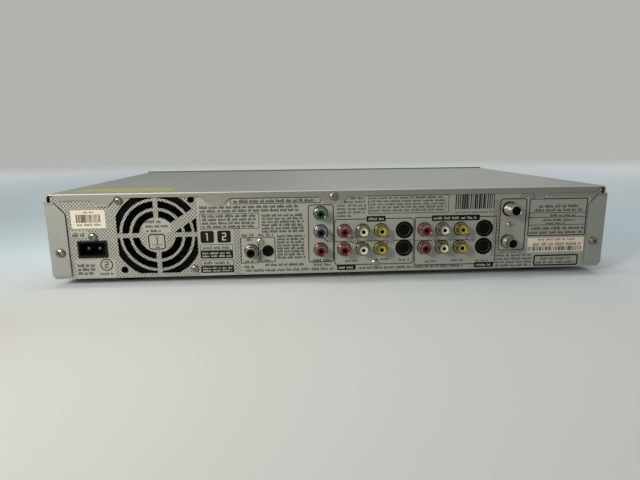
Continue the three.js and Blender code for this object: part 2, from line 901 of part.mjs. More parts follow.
// One round jack that stands out through the connector panel.
function jack(centreX, centreZ) {
  const tip = rearFace + jackReach;
  return joined([
    rod("y", collarRadius, panelInside - blockDepth / 2, rearFace + collarReach, centreX, centreZ),
    rod("y", jackRadius, panelInside - blockDepth / 2, tip, centreX, centreZ),
  ]);
}

function jackBore(centreX, centreZ) {
  const tip = rearFace + jackReach;
  return rod("y", jackHole, tip - jackHoleDepth, tip + overrun, centreX, centreZ, smallSides);
}

// One round video socket, with its well and its core.
function videoSocket(centreX, centreZ) {
  const face = rearFace + videoReach;
  const shell = rod("y", videoRadius, panelInside - blockDepth / 2, face, centreX, centreZ);
  const well = rod("y", videoWellRadius, face - videoWellDepth, face + overrun, centreX, centreZ);
  const coreTop = face - videoCoreDrop;
  const core = rod("y", videoCoreRadius, face - videoWellDepth - overrun, coreTop, centreX, centreZ);
  return joined([shell.subtract(well), core]);
}

function jackHousing(lowX, highX, highestRow) {
  const inside = panelInside - seatGap;
  return block(lowX, highX, inside - blockDepth, inside, standBottom, highestRow + blockHeadroom);
}

function jackBlock(jacks, videos, highestRow) {
  const all = [...jacks, ...videos].map(([centreX]) => centreX);
  const housing = jackHousing(Math.min(...all) - blockMargin, Math.max(...all) + blockMargin, highestRow);
  const round = jacks.map((spot) => jack(...spot));
  const sockets = videos.map((spot) => videoSocket(...spot));
  const body = joined([housing, ...round]);
  const bored = jacks.length ? cut(body, jacks.map((spot) => jackBore(...spot))) : body;
  if (!videos.length) return bored;
  const wells = videos.map(([centreX, centreZ]) =>
    rod(
      "y", videoRadius, rearFace + videoReach - videoWellDepth - overrun, rearFace + videoReach + overrun,
      centreX, centreZ,
    ),
  );
  return joined([cut(bored, wells), ...sockets]);
}

function row(startX, centreZ) {
  return [0, 1, 2].map((column) => [startX - column * jackPitch, centreZ]);
}

function audioVideoBlock(startX, videoX) {
  const jacks = [...row(startX, lowRow), ...row(startX, highRow)];
  const videos = [
    [videoX, lowRow],
    [videoX, highRow],
  ];
  return jackBlock(jacks, videos, highRow);
}

function digitalBlock() {
  const inside = panelInside - seatGap;
  const control = joined([
    jackHousing(controlX - blockMargin, digitalX, lowRow),
    rod("y", controlRadius, inside - blockDepth / 2, rearFace + controlReach, controlX, lowRow),
  ]);
  const bore = rod(
    "y", controlHole, rearFace + controlReach - jackHoleDepth, rearFace + controlReach + overrun,
    controlX, lowRow, smallSides,
  );
  return cut(joined([jackBlock([[digitalX, lowRow]], [], lowRow), control]), [bore]);
}

function tunerBlock() {
  const inside = panelInside - seatGap;
  const highAerial = aerialLowZ + aerialPitch;
  const can = block(
    aerialX - tunerHalfWidth, aerialX + tunerHalfWidth / 2 + seatGap, inside - tunerDepth, inside,
    standBottom, highAerial + tunerHeadroom,
  );
  const tip = rearFace + aerialReach;
  const barrels = [aerialLowZ, highAerial].map((centreZ) =>
    rod("y", aerialRadius, inside - overrun, tip, aerialX, centreZ),
  );
  const bores = [aerialLowZ, highAerial].flatMap((centreZ) => [
    rod("y", aerialMouth, tip - aerialMouthDepth, tip + overrun, aerialX, centreZ),
    rod("y", aerialPinHole, tip - aerialPinDepth, tip + overrun, aerialX, centreZ, smallSides),
  ]);
  return cut(joined([can, ...barrels]), bores);
}

function acInlet() {
  const halfX = inletWidth / 2;
  const halfZ = inletHeight / 2;
  const inside = panelInside - seatGap;
  const body = block(
    inletX - halfX, inletX + halfX, inside - inletDepth, rearFace, inletZ - halfZ, inletZ + halfZ,
  );
  const flange = block(
    inletX - halfX - inletFlangeReach, inletX + halfX + inletFlangeReach, inside - inletFlange, inside,
    inletZ - halfZ - inletFlangeReach / 2, inletZ + halfZ + inletEarHeight,
  );
  const well = block(
    inletX - halfX + inletWall, inletX + halfX - inletWall, rearFace - inletWellDepth, rearFace + overrun,
    inletZ - halfZ + inletWall, inletZ + halfZ - inletWall,
  );
  const pins = [-1, 1].map((side) =>
    rod(
      "y", inletPinRadius, rearFace - inletWellDepth - overrun, rearFace - inletPinDrop,
      inletX + (side * inletPinPitch) / 2, inletZ, smallSides,
    ),
  );
  const shell = cut(joined([body, flange]), [well, screwHoleY(inletScrewX, inletScrewZ)]);
  return joined([shell, ...pins]);
}

place("output_jack_block", audioVideoBlock(outputX, outputVideoX), nickel);
place("input_jack_block", audioVideoBlock(inputX, inputVideoX), nickel);
const componentJacks = [lowRow, highRow, topRow].map((centreZ) => [componentX, centreZ]);
place("component_jack_block", jackBlock(componentJacks, [], topRow), nickel);
place("digital_jack_block", digitalBlock(), blackPlastic);
place("tuner_block", tunerBlock(), nickel);
place("ac_inlet", acInlet(), blackPlastic);

// The fan.
const fanMount = 15;
const fanMountThickness = 3.5;
const fanStrut = 3;
const fanShaft = 1.5;
const rotorHub = 14;
const rotorDepth = 19;
const bladeCount = 7;
const bladeGap = 1.1;
const bladeTip = fanBore - bladeGap;
const bladeThickness = 1.2;
const bladeChord = 17;
const bladeTiltDegrees = 42;

function fanFrame() {
  const rear = panelInside - seatGap;
  const front = rear - fanDepth;
  const half = fanSize / 2;
  const frame = block(fanX - half, fanX + half, front, rear, fanZ - half, fanZ + half);
  const bore = rod("y", fanBore, front - overrun, rear + overrun, fanX, fanZ, fineSides);
  const corners = [-1, 1].flatMap((sideX) => [-1, 1].map((sideZ) => fanCorner(sideX, sideZ)));
  const holes = corners.map((corner) =>
    rod("y", fanHoleRadius, front - overrun, rear + overrun, ...corner, smallSides),
  );
  const mountBack = front + fanMountThickness;
  const mount = rod("y", fanMount, front, mountBack, fanX, fanZ);
  const struts = [
    block(fanX - half + overrun, fanX + half - overrun, front, mountBack, fanZ - fanStrut / 2, fanZ + fanStrut / 2),
    block(fanX - fanStrut / 2, fanX + fanStrut / 2, front, mountBack, fanZ - half + overrun, fanZ + half - overrun),
  ];
  const shaftBore = rod("y", fanShaft + seatGap, front - overrun, mountBack + overrun, fanX, fanZ, smallSides);
  return cut(joined([cut(frame, [bore, ...holes]), mount, ...struts]), [shaftBore]);
}

// The rotor is made around its own axis and then put in the bore.
function fanRotor() {
  const hub = rod("y", rotorHub, 0, rotorDepth, 0, 0);
  const shaft = rod("y", fanShaft, -fanMountThickness, overrun, 0, 0, smallSides);
  const blades = [];
  for (let index = 0; index < bladeCount; index += 1) {
    const form = new THREE.BoxGeometry(bladeTip - rotorHub + overrun, bladeThickness, bladeChord);
    form.rotateX(THREE.MathUtils.degToRad(bladeTiltDegrees + 90));
    form.translate((bladeTip + rotorHub - overrun) / 2, rotorDepth / 2, 0);
    form.rotateY((index * 2 * Math.PI) / bladeCount);
    blades.push(solidFrom(form));
  }
  const limit = rod("y", bladeTip, 0, rotorDepth, 0, 0, fineSides);
  return joined([hub, shaft, joined(blades).intersect(limit)]);
}

place("fan_frame", fanFrame(), blackPlastic);
const rotor = place("fan_rotor", fanRotor(), blackPlastic);
rotor.position.set(fanX, panelInside - seatGap - fanDepth + fanMountThickness + seatGap, fanZ);

// The boards.
const socketHalf = ribbonSocketDepth / 2;
const hddMiddle = hddLow + hddWidth / 2;
const hddBack = hddFront + hddLength;
const boardSocketY = mainBoardFront + postInset;
const chipHeight = 3;
const heatSinkHeight = 22;
const smallCanRadius = 4;
const smallCanHeight = 12;
const bigCanRadius = 12;
const bigCanHeight = 34;
const transformerSize = 34;
const transformerHeight = 30;
const finThickness = 3;

function mainBoard() {
  const plate = block(
    mainBoardLow, mainBoardHigh, mainBoardFront, chassisRear, boardBottom, boardTop,
  );
  const jackFront = chassisRear - blockDepth - postInset;
  const socketHigh = boardTop + ribbonSocketHeight;
  const socket = (middle, width) =>
    block(
      middle - width / 2, middle + width / 2, boardSocketY - socketHalf, boardSocketY + socketHalf,
      boardTop - overrun, socketHigh,
    );
  const chipSide = jackPitch * 2;
  const chips = [0, 1, 2].map((index) => {
    const lowX = outputVideoX + index * chipSide * 1.5;
    const lowY = jackFront - chipSide;
    return block(lowX, lowX + chipSide, lowY, jackFront, boardTop - overrun, boardTop + chipHeight);
  });
  const cans = [0, 1, 2].map((index) =>
    rod(
      "z", smallCanRadius, boardTop - overrun, boardTop + smallCanHeight,
      mainBoardLow + postInset * (3 + index * 2), jackFront, smallSides,
    ),
  );
  return joined([
    plate,
    socket(hddMiddle, hddRibbonWidth + postRadius),
    socket(driveX, driveRibbonWidth + postRadius),
    ...chips,
    ...cans,
  ]);
}

function powerBoard() {
  const plate = block(
    powerBoardLow, powerBoardHigh, powerBoardFront, powerBoardRear, boardBottom, boardTop,
  );
  const low = boardTop - overrun;
  const middleX = (powerBoardLow + powerBoardHigh) / 2;
  const transformer = block(
    middleX - transformerSize / 2, middleX + transformerSize / 2, -transformerSize / 2, transformerSize / 2,
    low, boardTop + transformerHeight,
  );
  const bigCan = rod(
    "z", bigCanRadius, low, boardTop + bigCanHeight, powerBoardHigh - transformerSize, transformerSize * 1.5,
  );
  const sink = (x) =>
    block(
      x, x + finThickness, powerBoardFront + transformerSize / 2, powerBoardFront + transformerSize * 2,
      low, boardTop + heatSinkHeight,
    );
  const cans = [0, 1, 2, 3, 4].map((index) =>
    rod(
      "z", smallCanRadius * 1.5, low, boardTop + smallCanHeight * 1.5,
      powerBoardLow + transformerSize / 2, powerBoardFront + transformerSize * (1 + index / 2), smallSides,
    ),
  );
  return joined([plate, transformer, bigCan, sink(middleX), sink(middleX + transformerSize), ...cans]);
}

place("main_board", mainBoard(), boardGreen);
place("power_board", powerBoard(), boardGreen);

// The front.
const boardFace = frontBoardBack - boardThickness;
const switchFace = boardFace - switchHeight;
const stemEnd = switchFace - buttonTravel - seatGap;
const keyPlaces = [0, 1, 2, 3].map((index) => openKeyX + index * keyPitch);
const flapAxisY = frontFace + flapThickness / 2;
const flapAxisZ = flapBottom + seatGap + flapThickness / 2;

function frontOutline(inset, back) {
  const half = halfWidth - inset;
  const face = frontFace + inset;
  const radius = frontCorner - inset;
  const shape = new THREE.Shape();
  shape.moveTo(half, back);
  shape.lineTo(-half, back);
  shape.absarc(-half + radius, face + radius, radius, Math.PI, (3 * Math.PI) / 2, false);
  shape.absarc(half - radius, face + radius, radius, (3 * Math.PI) / 2, 2 * Math.PI, false);
  return shape;
}

function frontPanel() {
  const shell = cut(prism("z", frontOutline(0, frontBack), bodyBottom, bodyTop), [
    prism("z", frontOutline(frontWall, frontBack + overrun), bodyBottom + frontWall, bodyTop - frontWall),
  ]);
  const posts = [];
  for (const x of [frontBoardLow + postInset, frontBoardHigh - postInset]) {
    for (const z of [frontBoardBottom + postInset / 2, frontBoardTop - postInset / 2]) {
      posts.push(rod("y", postRadius - overrun, frontInside - overrun, boardFace - seatGap, x, z, smallSides));
    }
  }
  const low = frontFace - overrun;
  const high = frontInside + overrun;
  const windowHole = prism(
    "y", roundedRectangle(displayLow, displayHigh, displayBottom, displayTop, keyCorner), low, high,
  );
  const slot = block(
    driveX - trayFrontHalfWidth - seatGap, driveX + trayFrontHalfWidth + seatGap, low, high,
    trayFrontBottom - seatGap, trayFrontBottom + trayFrontHeight + seatGap,
  );
  const flapHole = block(flapLow, flapHigh, low, high, flapBottom, flapTop);
  const pinHole = rod(
    "x", flapPinRadius + seatGap, flapLow - flapPinLength - seatGap, flapHigh + flapPinLength + seatGap,
    flapAxisY, flapAxisZ, smallSides,
  );
  const keys = keyPlaces.map((x) => prism("y", keyShape(x, seatGap), low, high));
  const power = rod("y", powerButtonRadius + seatGap, low, high, powerButtonX, powerButtonZ);
  return cut(joined([shell, ...posts]), [windowHole, slot, flapHole, pinHole, power, ...keys]);
}

function keyShape(centreX, grow) {
  return roundedRectangle(
    centreX - keyWidth / 2 - grow, centreX + keyWidth / 2 + grow,
    keyRowZ - keyHeight / 2 - grow, keyRowZ + keyHeight / 2 + grow, keyCorner + grow,
  );
}

// What a button has behind the front: a flange that keeps it in, and a stem that presses the switch.
function buttonBack(centreX, centreZ, flange) {
  const flangeFront = frontInside + seatGap;
  return joined([flange(flangeFront, flangeFront + buttonFlange), rod(
    "y", buttonStem, flangeFront, stemEnd, centreX, centreZ, smallSides,
  )]);
}

function keyButton(centreX) {
  const cap = prism("y", keyShape(centreX, 0), frontFace, frontInside + seatGap + overrun);
  const flange = (low, high) => prism("y", keyShape(centreX, buttonFlangeReach), low, high);
  return joined([cap, buttonBack(centreX, keyRowZ, flange)]);
}

function powerButton() {
  const flange = (low, high) =>
    rod("y", powerButtonRadius + buttonFlangeReach, low, high, powerButtonX, powerButtonZ);
  const cap = rod("y", powerButtonRadius, frontFace, frontInside + seatGap + overrun, powerButtonX, powerButtonZ);
  return joined([cap, buttonBack(powerButtonX, powerButtonZ, flange)]);
}

function frontBoard() {
  const plate = block(
    frontBoardLow, frontBoardHigh, boardFace, frontBoardBack, frontBoardBottom, frontBoardTop,
  );
  const half = switchSize / 2;
  const switchAt = (x, z) =>
    block(x - half, x + half, switchFace, boardFace + overrun / 2, z - half, z + half);
  return joined([plate, switchAt(powerButtonX, powerButtonZ), ...keyPlaces.map((x) => switchAt(x, keyRowZ))]);
}

function displayWindow() {
  const shape = roundedRectangle(
    displayLow + seatGap, displayHigh - seatGap, displayBottom + seatGap, displayTop - seatGap, keyCorner - seatGap,
  );
  return prism("y", shape, frontFace + seatGap, frontFace + seatGap + windowThickness);
}

function displayTube() {
  const back = boardFace - seatGap;
  return block(
    displayLow + tubeInset, displayHigh - tubeInset, back - tubeThickness, back, displayBottom, displayTop,
  );
}

// The flap turns about pins at its lower corners, so its lower edge is round.
function flapDoor() {
  const lowX = flapLow + seatGap;
  const highX = flapHigh - seatGap;
  return joined([
    block(lowX, highX, frontFace, frontFace + flapThickness, flapAxisZ, flapTop - seatGap),
    rod("x", flapThickness / 2, lowX, highX, flapAxisY, flapAxisZ, roundSides),
    rod("x", flapPinRadius, lowX - flapPinLength, highX + flapPinLength, flapAxisY, flapAxisZ, smallSides),
  ]);
}

function frontJackBlock() {
  const plateFront = frontFace + pocketPlateFront;
  const plateBack = plateFront + pocketPlate;
  const tip = frontFace + flapThickness + pocketJackGap;
  const middleZ = (flapBottom + flapTop) / 2;
  const plate = block(
    flapLow + seatGap, flapHigh - seatGap, plateFront, plateBack, flapBottom - seatGap, flapTop + seatGap,
  );
  const back = block(
    pocketVideoX - blockMargin, pocketJackX + blockMargin, plateBack - overrun, frontBack,
    flapBottom, flapTop,
  );
  const centres = [0, 1, 2].map((column) => pocketJackX - column * jackPitch);
  const jacks = centres.map((x) => rod("y", jackRadius, tip, plateBack, x, middleZ));
  const holes = centres.map((x) => rod("y", jackHole, tip - overrun, plateBack, x, middleZ, smallSides));
  const videoFace = plateFront - videoReach;
  const video = rod("y", videoRadius, videoFace, plateBack, pocketVideoX, middleZ);
  const well = rod("y", videoWellRadius, videoFace - overrun, videoFace + videoWellDepth, pocketVideoX, middleZ);
  const core = rod(
    "y", videoCoreRadius, videoFace + videoCoreDrop, videoFace + videoWellDepth + overrun, pocketVideoX, middleZ,
  );
  return joined([cut(joined([plate, back, video, ...jacks]), [well, ...holes]), core]);
}

place("front_panel", frontPanel(), frontPlastic);
place("front_board", frontBoard(), boardGreen);
place("display_window", displayWindow(), smokedPlastic);
place("display_tube", displayTube(), glassDark);
place("power_button", powerButton(), frontPlastic);
const keyNames = ["open_close_button", "stop_button", "play_button", "record_button"];
keyPlaces.forEach((x, index) => place(keyNames[index], keyButton(x), frontPlastic));
place("flap_door", flapDoor(), frontPlastic);
place("front_jack_block", frontJackBlock(), nickel);

// The disc drive.
const trayDeckTop = trayFloorBottom + trayFloor + trayRim;
const trayGearRadius = (gearModule * trayGearTeeth) / 2;
const pulleyGearRadius = (gearModule * pulleyGearTeeth) / 2;
const trayGearX = driveX + rackPitchX + trayGearRadius;
const pulleyX = trayGearX + trayGearRadius + pulleyGearRadius;
const loadingMotorX = pulleyX + motorOffsetX;

function driveFrame() {
  const floor = block(
    driveX - driveOuterHalf, driveX + driveOuterHalf, driveFront, driveRear, driveBottom, driveFloorTop,
  );
  const sides = [-1, 1].flatMap((side) => {
    const outer = driveX + side * driveOuterHalf;
    const inner = driveX + side * driveInnerHalf;
    const ledge = driveX + side * (driveInnerHalf - ledgeReach);
    const ledgeTop = trayFloorBottom - seatGap;
    return [
      block(
        Math.min(outer, inner), Math.max(outer, inner), driveFront, driveRear, driveBottom, driveWallTop,
      ),
      block(
        Math.min(outer, ledge), Math.max(outer, ledge), driveFront, driveRear, ledgeTop - ledgeThickness, ledgeTop,
      ),
    ];
  });
  const back = block(
    driveX - driveOuterHalf, driveX + driveOuterHalf, driveRear - driveWall, driveRear, driveBottom, driveWallTop,
  );
  const low = driveBottom;
  const gearPost = rod("z", gearPostRadius, low, gearBottom - seatGap, trayGearX, trayGearY, smallSides);
  const gearTop = gearBottom + gearThickness;
  const gearAxle = rod("z", gearPin, low, gearTop, trayGearX, trayGearY, smallSides);
  const pulleyPost = rod("z", postRadius, low, pulleyBottom - seatGap, pulleyX, trayGearY, smallSides);
  const pulleyAxle = rod("z", gearPin, low, gearTop, pulleyX, trayGearY, smallSides);
  const cheekInner = unitHalfWidth + overrun;
  const cheeks = [-1, 1].map((side) => {
    const ends = [driveX + side * cheekInner, driveX + side * (cheekInner + postRadius)];
    return block(
      Math.min(...ends), Math.max(...ends), pivotY - postInset, pivotY + postInset, low, pivotZ + postRadius + overrun,
    );
  });
  const pivotHole = rod(
    "x", pivotPin + seatGap, driveX - driveInnerHalf, driveX + driveInnerHalf, pivotY, pivotZ, smallSides,
  );
  const body = joined([floor, ...sides, back, gearPost, gearAxle, pulleyPost, pulleyAxle, ...cheeks]);
  return cut(body, [pivotHole]);
}

function driveBridge() {
  const low = driveWallTop + seatGap;
  const high = low + bridgeThickness;
  const plate = block(
    driveX - driveOuterHalf, driveX + driveOuterHalf, discY - bridgeHalfDepth, discY + bridgeHalfDepth, low, high,
  );
  return cut(plate, [rod("z", clampHole, low - overrun, high + overrun, driveX, discY)]);
}

// The clamp hangs in the bridge by its upper flange.
function clamper() {
  const bridgeLow = driveWallTop + seatGap;
  const bridgeHigh = bridgeLow + bridgeThickness;
  const puck = rod("z", clampRadius, clampBottom, bridgeLow - seatGap * 2, 0, 0, fineSides);
  const neck = rod("z", clampNeck, bridgeLow - overrun, bridgeHigh + overrun, 0, 0);
  const flangeLow = bridgeHigh + seatGap;
  const flange = rod("z", clampFlange, flangeLow, flangeLow + clampFlangeThickness, 0, 0);
  const recess = rod("z", coneRadius + seatGap, clampBottom - overrun, clampBottom + clampRecess, 0, 0);
  return cut(joined([puck, neck, flange]), [recess]);
}

// A straight rack with its teeth towards +X, laid so that a gap faces the gear.
function rack(low, high) {
  const pitch = Math.PI * gearModule;
  const dedent = gearModule * 1.25;
  const rootX = rackPitchX - dedent;
  const tipX = rackPitchX + gearModule;
  const halfAtPitch = pitch / 4 - gearBacklash;
  const halfRoot = halfAtPitch + dedent * pressureTangent;
  const halfTip = halfAtPitch - gearModule * pressureTangent;
  const first = Math.ceil((low - trayGearY) / pitch + 1 / 2);
  const points = [
    [driveX + rackBack, low],
  ];
  for (let index = first; trayGearY + (index + 1 / 2) * pitch + halfRoot < high; index += 1) {
    const middle = trayGearY + (index - 1 / 2) * pitch;
    if (middle - halfRoot < low) continue;
    points.push(
      [driveX + rootX, middle - halfRoot],
      [driveX + tipX, middle - halfTip],
      [driveX + tipX, middle + halfTip],
      [driveX + rootX, middle + halfRoot],
    );
  }
  points.splice(1, 0, [driveX + rootX, low]);
  points.push([driveX + rootX, high], [driveX + rackBack, high]);
  return prism("z", outline(points), rackBottom, trayFloorBottom + overrun);
}

function discTray() {
  const front = frontFace + trayFrontThickness + seatGap;
  const low = trayFloorBottom;
  const floorTopZ = low + trayFloor;
  const plate = block(driveX - trayHalfWidth, driveX + trayHalfWidth, front, trayRear, low, trayDeckTop);
  const recess = rod("z", discRecess, floorTopZ, trayDeckTop + overrun, driveX, discY, fineSides * 2);
  const hole = rod("z", trayHole, low - overrun, trayDeckTop + overrun, driveX, discY, fineSides);
  const slot = block(
    driveX - traySlotWidth / 2, driveX + traySlotWidth / 2, discY, discY + traySlotReach,
    low - overrun, trayDeckTop + overrun,
  );
  const body = cut(plate, [recess, hole, slot]);
  return joined([body, rack(front + overrun, trayRear - overrun)]);
}

function trayFront() {
  return prism(
    "y",
    roundedRectangle(
      driveX - trayFrontHalfWidth, driveX + trayFrontHalfWidth,
      trayFrontBottom, trayFrontBottom + trayFrontHeight, keyCorner / 2,
    ),
    frontFace, frontFace + trayFrontThickness,
  );
}

// A spur gear with straight-sided teeth, one of which is centred on +X.
function gearShape(teeth) {
  const radius = (gearModule * teeth) / 2;
  const rootRadius = radius - gearModule * 1.25;
  const tipRadius = radius + gearModule;
  const halfAtPitch = Math.PI / (2 * teeth) - gearBacklash / radius;
  const halfRoot = halfAtPitch + (gearModule * pressureTangent * 0.8) / radius;
  const halfTip = halfAtPitch - (gearModule * pressureTangent * 1.35) / radius;
  const at = (r, angle) => [r * Math.cos(angle), r * Math.sin(angle)];
  const points = [];
  for (let index = 0; index < teeth; index += 1) {
    const middle = (index * 2 * Math.PI) / teeth;
    points.push(
      at(rootRadius, middle - halfRoot),
      at(radius, middle - halfAtPitch),
      at(tipRadius, middle - halfTip),
      at(tipRadius, middle + halfTip),
      at(radius, middle + halfAtPitch),
      at(rootRadius, middle + halfRoot),
    );
  }
  return outline(points);
}

function trayGear() {
  const bore = rod("z", gearPin + seatGap, -overrun, gearThickness + overrun, 0, 0, smallSides);
  return cut(prism("z", gearShape(trayGearTeeth), 0, gearThickness), [bore]);
}

function grooved(grooveRadius) {
  const flangeRadius = grooveRadius + pulleyFlangeRise;
  const grooveTop = pulleyFlange + pulleyGroove;
  return joined([
    rod("z", flangeRadius, 0, pulleyFlange, 0, 0),
    rod("z", grooveRadius, pulleyFlange / 2, grooveTop + pulleyFlange / 2, 0, 0),
    rod("z", flangeRadius, grooveTop, grooveTop + pulleyFlange, 0, 0),
  ]);
}

function loadingPulley() {
  const gearLow = gearBottom - pulleyBottom;
  const gearHigh = gearLow + gearThickness;
  const hub = rod("z", pulleyGearRadius - gearModule * 2, 0, gearHigh, 0, 0);
  const bore = rod("z", gearPin + seatGap, -overrun, gearHigh + overrun, 0, 0, smallSides);
  const gear = prism("z", gearShape(pulleyGearTeeth), gearLow, gearHigh);
  return cut(joined([grooved(bigPulleyGroove), hub, gear]), [bore]);
}

function motorPulley() {
  const high = pulleyFlange * 2 + pulleyGroove;
  const bore = rod("z", motorShaft + seatGap, -overrun, high + overrun, 0, 0, smallSides);
  return cut(grooved(smallPulleyGroove), [bore]);
}

function loadingMotor() {
  const low = driveFloorTop + seatGap;
  return joined([
    rod("z", motorRadius, low, motorTop, loadingMotorX, motorY),
    rod("z", motorShaft, motorTop - overrun, motorTop + motorShaftReach, loadingMotorX, motorY, smallSides),
  ]);
}

// The belt's loop at a distance from both pulleys' grooves.
function beltLoop(away) {
  const bigRadius = bigPulleyGroove + away;
  const smallRadius = smallPulleyGroove + away;
  const spanX = loadingMotorX - pulleyX;
  const spanY = motorY - trayGearY;
  const heading = Math.atan2(spanY, spanX);
  const meet = Math.acos((bigRadius - smallRadius) / Math.hypot(spanX, spanY));
  const shape = new THREE.Shape();
  shape.absarc(loadingMotorX, motorY, smallRadius, heading - meet, heading + meet, false);
  shape.absarc(pulleyX, trayGearY, bigRadius, heading + meet, heading - meet + 2 * Math.PI, false);
  return shape;
}

function driveBelt() {
  const middle = pulleyBottom + pulleyFlange + pulleyGroove / 2;
  const low = middle - beltThickness / 2;
  const high = middle + beltThickness / 2;
  return cut(prism("z", beltLoop(seatGap + beltThickness), low, high), [
    prism("z", beltLoop(seatGap), low - overrun, high + overrun),
  ]);
}

place("drive_frame", driveFrame(), castMetal);
place("drive_bridge", driveBridge(), bareSteel);
const clamp = place("clamper", clamper(), greyPlastic);
clamp.position.set(driveX, discY, 0);
place("disc_tray", discTray(), greyPlastic);
place("tray_front", trayFront(), frontPlastic);
const trayGearMesh = place("tray_gear", trayGear(), gearWhite);
trayGearMesh.position.set(trayGearX, trayGearY, gearBottom);
const pulleyMesh = place("loading_pulley", loadingPulley(), gearWhite);
pulleyMesh.position.set(pulleyX, trayGearY, pulleyBottom);
pulleyMesh.rotation.z = Math.PI / pulleyGearTeeth;
const motorPulleyMesh = place("motor_pulley", motorPulley(), gearWhite);
motorPulleyMesh.position.set(loadingMotorX, motorY, pulleyBottom);
place("loading_motor", loadingMotor(), bareSteel);
place("drive_belt", driveBelt(), rubber);

// The optical unit hangs on its pivot, lowered at its front end.
const opticalUnit = new THREE.Group();
opticalUnit.position.set(driveX, pivotY, pivotZ);
opticalUnit.rotation.x = THREE.MathUtils.degToRad(loweredDegrees);
unit.add(opticalUnit);

function traverse() {
  const plate = block(-unitHalfWidth, unitHalfWidth, unitFront, unitBack, unitBottom, unitTop);
  const well = block(
    -wellHalfWidth, wellHalfWidth, wellFront, wellBack, unitBottom - overrun, unitTop + overrun,
  );
  const plateTop = unitBottom + spindlePlate;
  const spindlePlateBlock = block(
    -wellHalfWidth - overrun, wellHalfWidth + overrun, wellFront - overrun, spindlePlateBack, unitBottom, plateTop,
  );
  const motor = rod("z", spindleMotorRadius, unitBottom, spindleMotorTop, 0, spindleY);
  const shaft = rod("z", spindleShaft, spindleMotorTop - overrun, spindleShaftTop, 0, spindleY, smallSides);
  const post = (x) =>
    block(x - rodPostHalfWidth, x + rodPostHalfWidth, rodPostFront, rodPostBack, unitBottom, unitTop);
  const bore = (x, radius) =>
    rod("y", radius + seatGap, rodPostFront - overrun, rodBack + seatGap, x, 0, smallSides);
  const pins = rod(
    "x", pivotPin, -unitHalfWidth - pivotPinReach, unitHalfWidth + pivotPinReach, 0, 0, smallSides,
  );
  const screwMotor = block(
    screwX - screwMotorHalf, screwX + screwMotorHalf, rodBack + overrun, screwMotorBack,
    -screwMotorHalf, screwMotorHalf,
  );
  const liftPin = rod(
    "y", slidePin, unitFront - slidePinReach, unitFront + overrun, slidePinX, 0, smallSides,
  );
  const body = joined([
    cut(plate, [well]), spindlePlateBlock, motor, shaft, post(-rodX), post(rodX), post(screwX), pins,
    screwMotor, liftPin,
  ]);
  return cut(body, [bore(-rodX, rodRadius), bore(rodX, rodRadius), bore(screwX, leadScrewRadius)]);
}

function turntable() {
  const low = spindleMotorTop + seatGap;
  const bore = rod("z", spindleShaft + seatGap, low - overrun, coneTop + overrun, 0, 0, smallSides);
  return cut(
    joined([
      rod("z", tableHub, low, tableTop, 0, 0),
      rod("z", tableRadius, tableBottom, tableTop, 0, 0, fineSides),
      bar("z", coneRadius, coneTopRadius, tableTop - overrun / 2, coneTop, 0, 0, roundSides),
    ]),
    [bore],
  );
}

function guideRod() {
  return rod("y", rodRadius, rodFront, rodBack, 0, 0, smallSides);
}

function pickupSled() {
  const middle = spindleY + sledInnerRadius;
  const low = middle - sledHalfLength;
  const high = middle + sledHalfLength;
  const body = block(-sledHalfWidth, sledHalfWidth, low, high, sledBottom, sledTop);
  const turret = rod("z", lensRadius, sledTop - overrun, lensTop - overrun, 0, middle);
  const eye = bar("z", lensEye, lensEye / 2, lensTop - overrun * 2, lensTop, 0, middle, smallSides);
  const bore = (x, radius) => rod("y", radius + seatGap, low - overrun, high + overrun, x, 0, smallSides);
  return cut(joined([body, turret, eye]), [
    bore(-rodX, rodRadius),
    bore(rodX, rodRadius),
    bore(screwX, leadScrewRadius),
  ]);
}

// The lead screw has a collar at its motor end that keeps it in place.
function leadScrew() {
  const collarLow = wellBack - leadScrewCollarLength - seatGap;
  return joined([
    rod("y", leadScrewRadius, rodFront, rodBack, 0, 0, smallSides),
    rod("y", leadScrewCollar, collarLow, wellBack - seatGap, 0, 0, smallSides),
  ]);
}

// A plate with a slanting slot: as it slides across, the slot lifts the unit's front pin.
function liftSlider() {
  const loweredAngle = THREE.MathUtils.degToRad(loweredDegrees);
  const middleY = slideFrontY + slideThickness / 2;
  const pinLow = pivotZ - (pivotY - middleY) * Math.tan(loweredAngle);
  const plate = block(
    driveX + slideLow, driveX + slideHigh, slideFrontY, slideFrontY + slideThickness,
    driveFloorTop + seatGap, slideTopZ,
  );
  const rise = pivotZ - pinLow;
  const length = Math.hypot(rise, slideTravel);
  const reach = slidePin + slideSlotMargin;
  const along = [-slideTravel / length, rise / length];
  const across = [-along[1], along[0]];
  const corner = (alongBy, acrossBy) => [
    driveX + slidePinX + along[0] * alongBy + across[0] * acrossBy,
    pinLow + along[1] * alongBy + across[1] * acrossBy,
  ];
  const slot = outline([
    corner(-reach, -reach),
    corner(length + reach, -reach),
    corner(length + reach, reach),
    corner(-reach, reach),
  ]);
  const low = slideFrontY - overrun;
  return cut(plate, [prism("y", slot, low, slideFrontY + slideThickness + overrun)]);
}

place("traverse", traverse(), castMetal, opticalUnit);
const tableMesh = place("turntable", turntable(), blackPlastic, opticalUnit);
tableMesh.position.set(0, spindleY, 0);
const leftRod = place("guide_rod_left", guideRod(), bareSteel, opticalUnit);
leftRod.position.set(-rodX, 0, 0);
const rightRod = place("guide_rod_right", guideRod(), bareSteel, opticalUnit);
rightRod.position.set(rodX, 0, 0);
place("pickup_sled", pickupSled(), blackPlastic, opticalUnit);
const screwMesh = place("lead_screw", leadScrew(), bareSteel, opticalUnit);
screwMesh.position.set(screwX, 0, 0);
place("lift_slider", liftSlider(), greyPlastic);

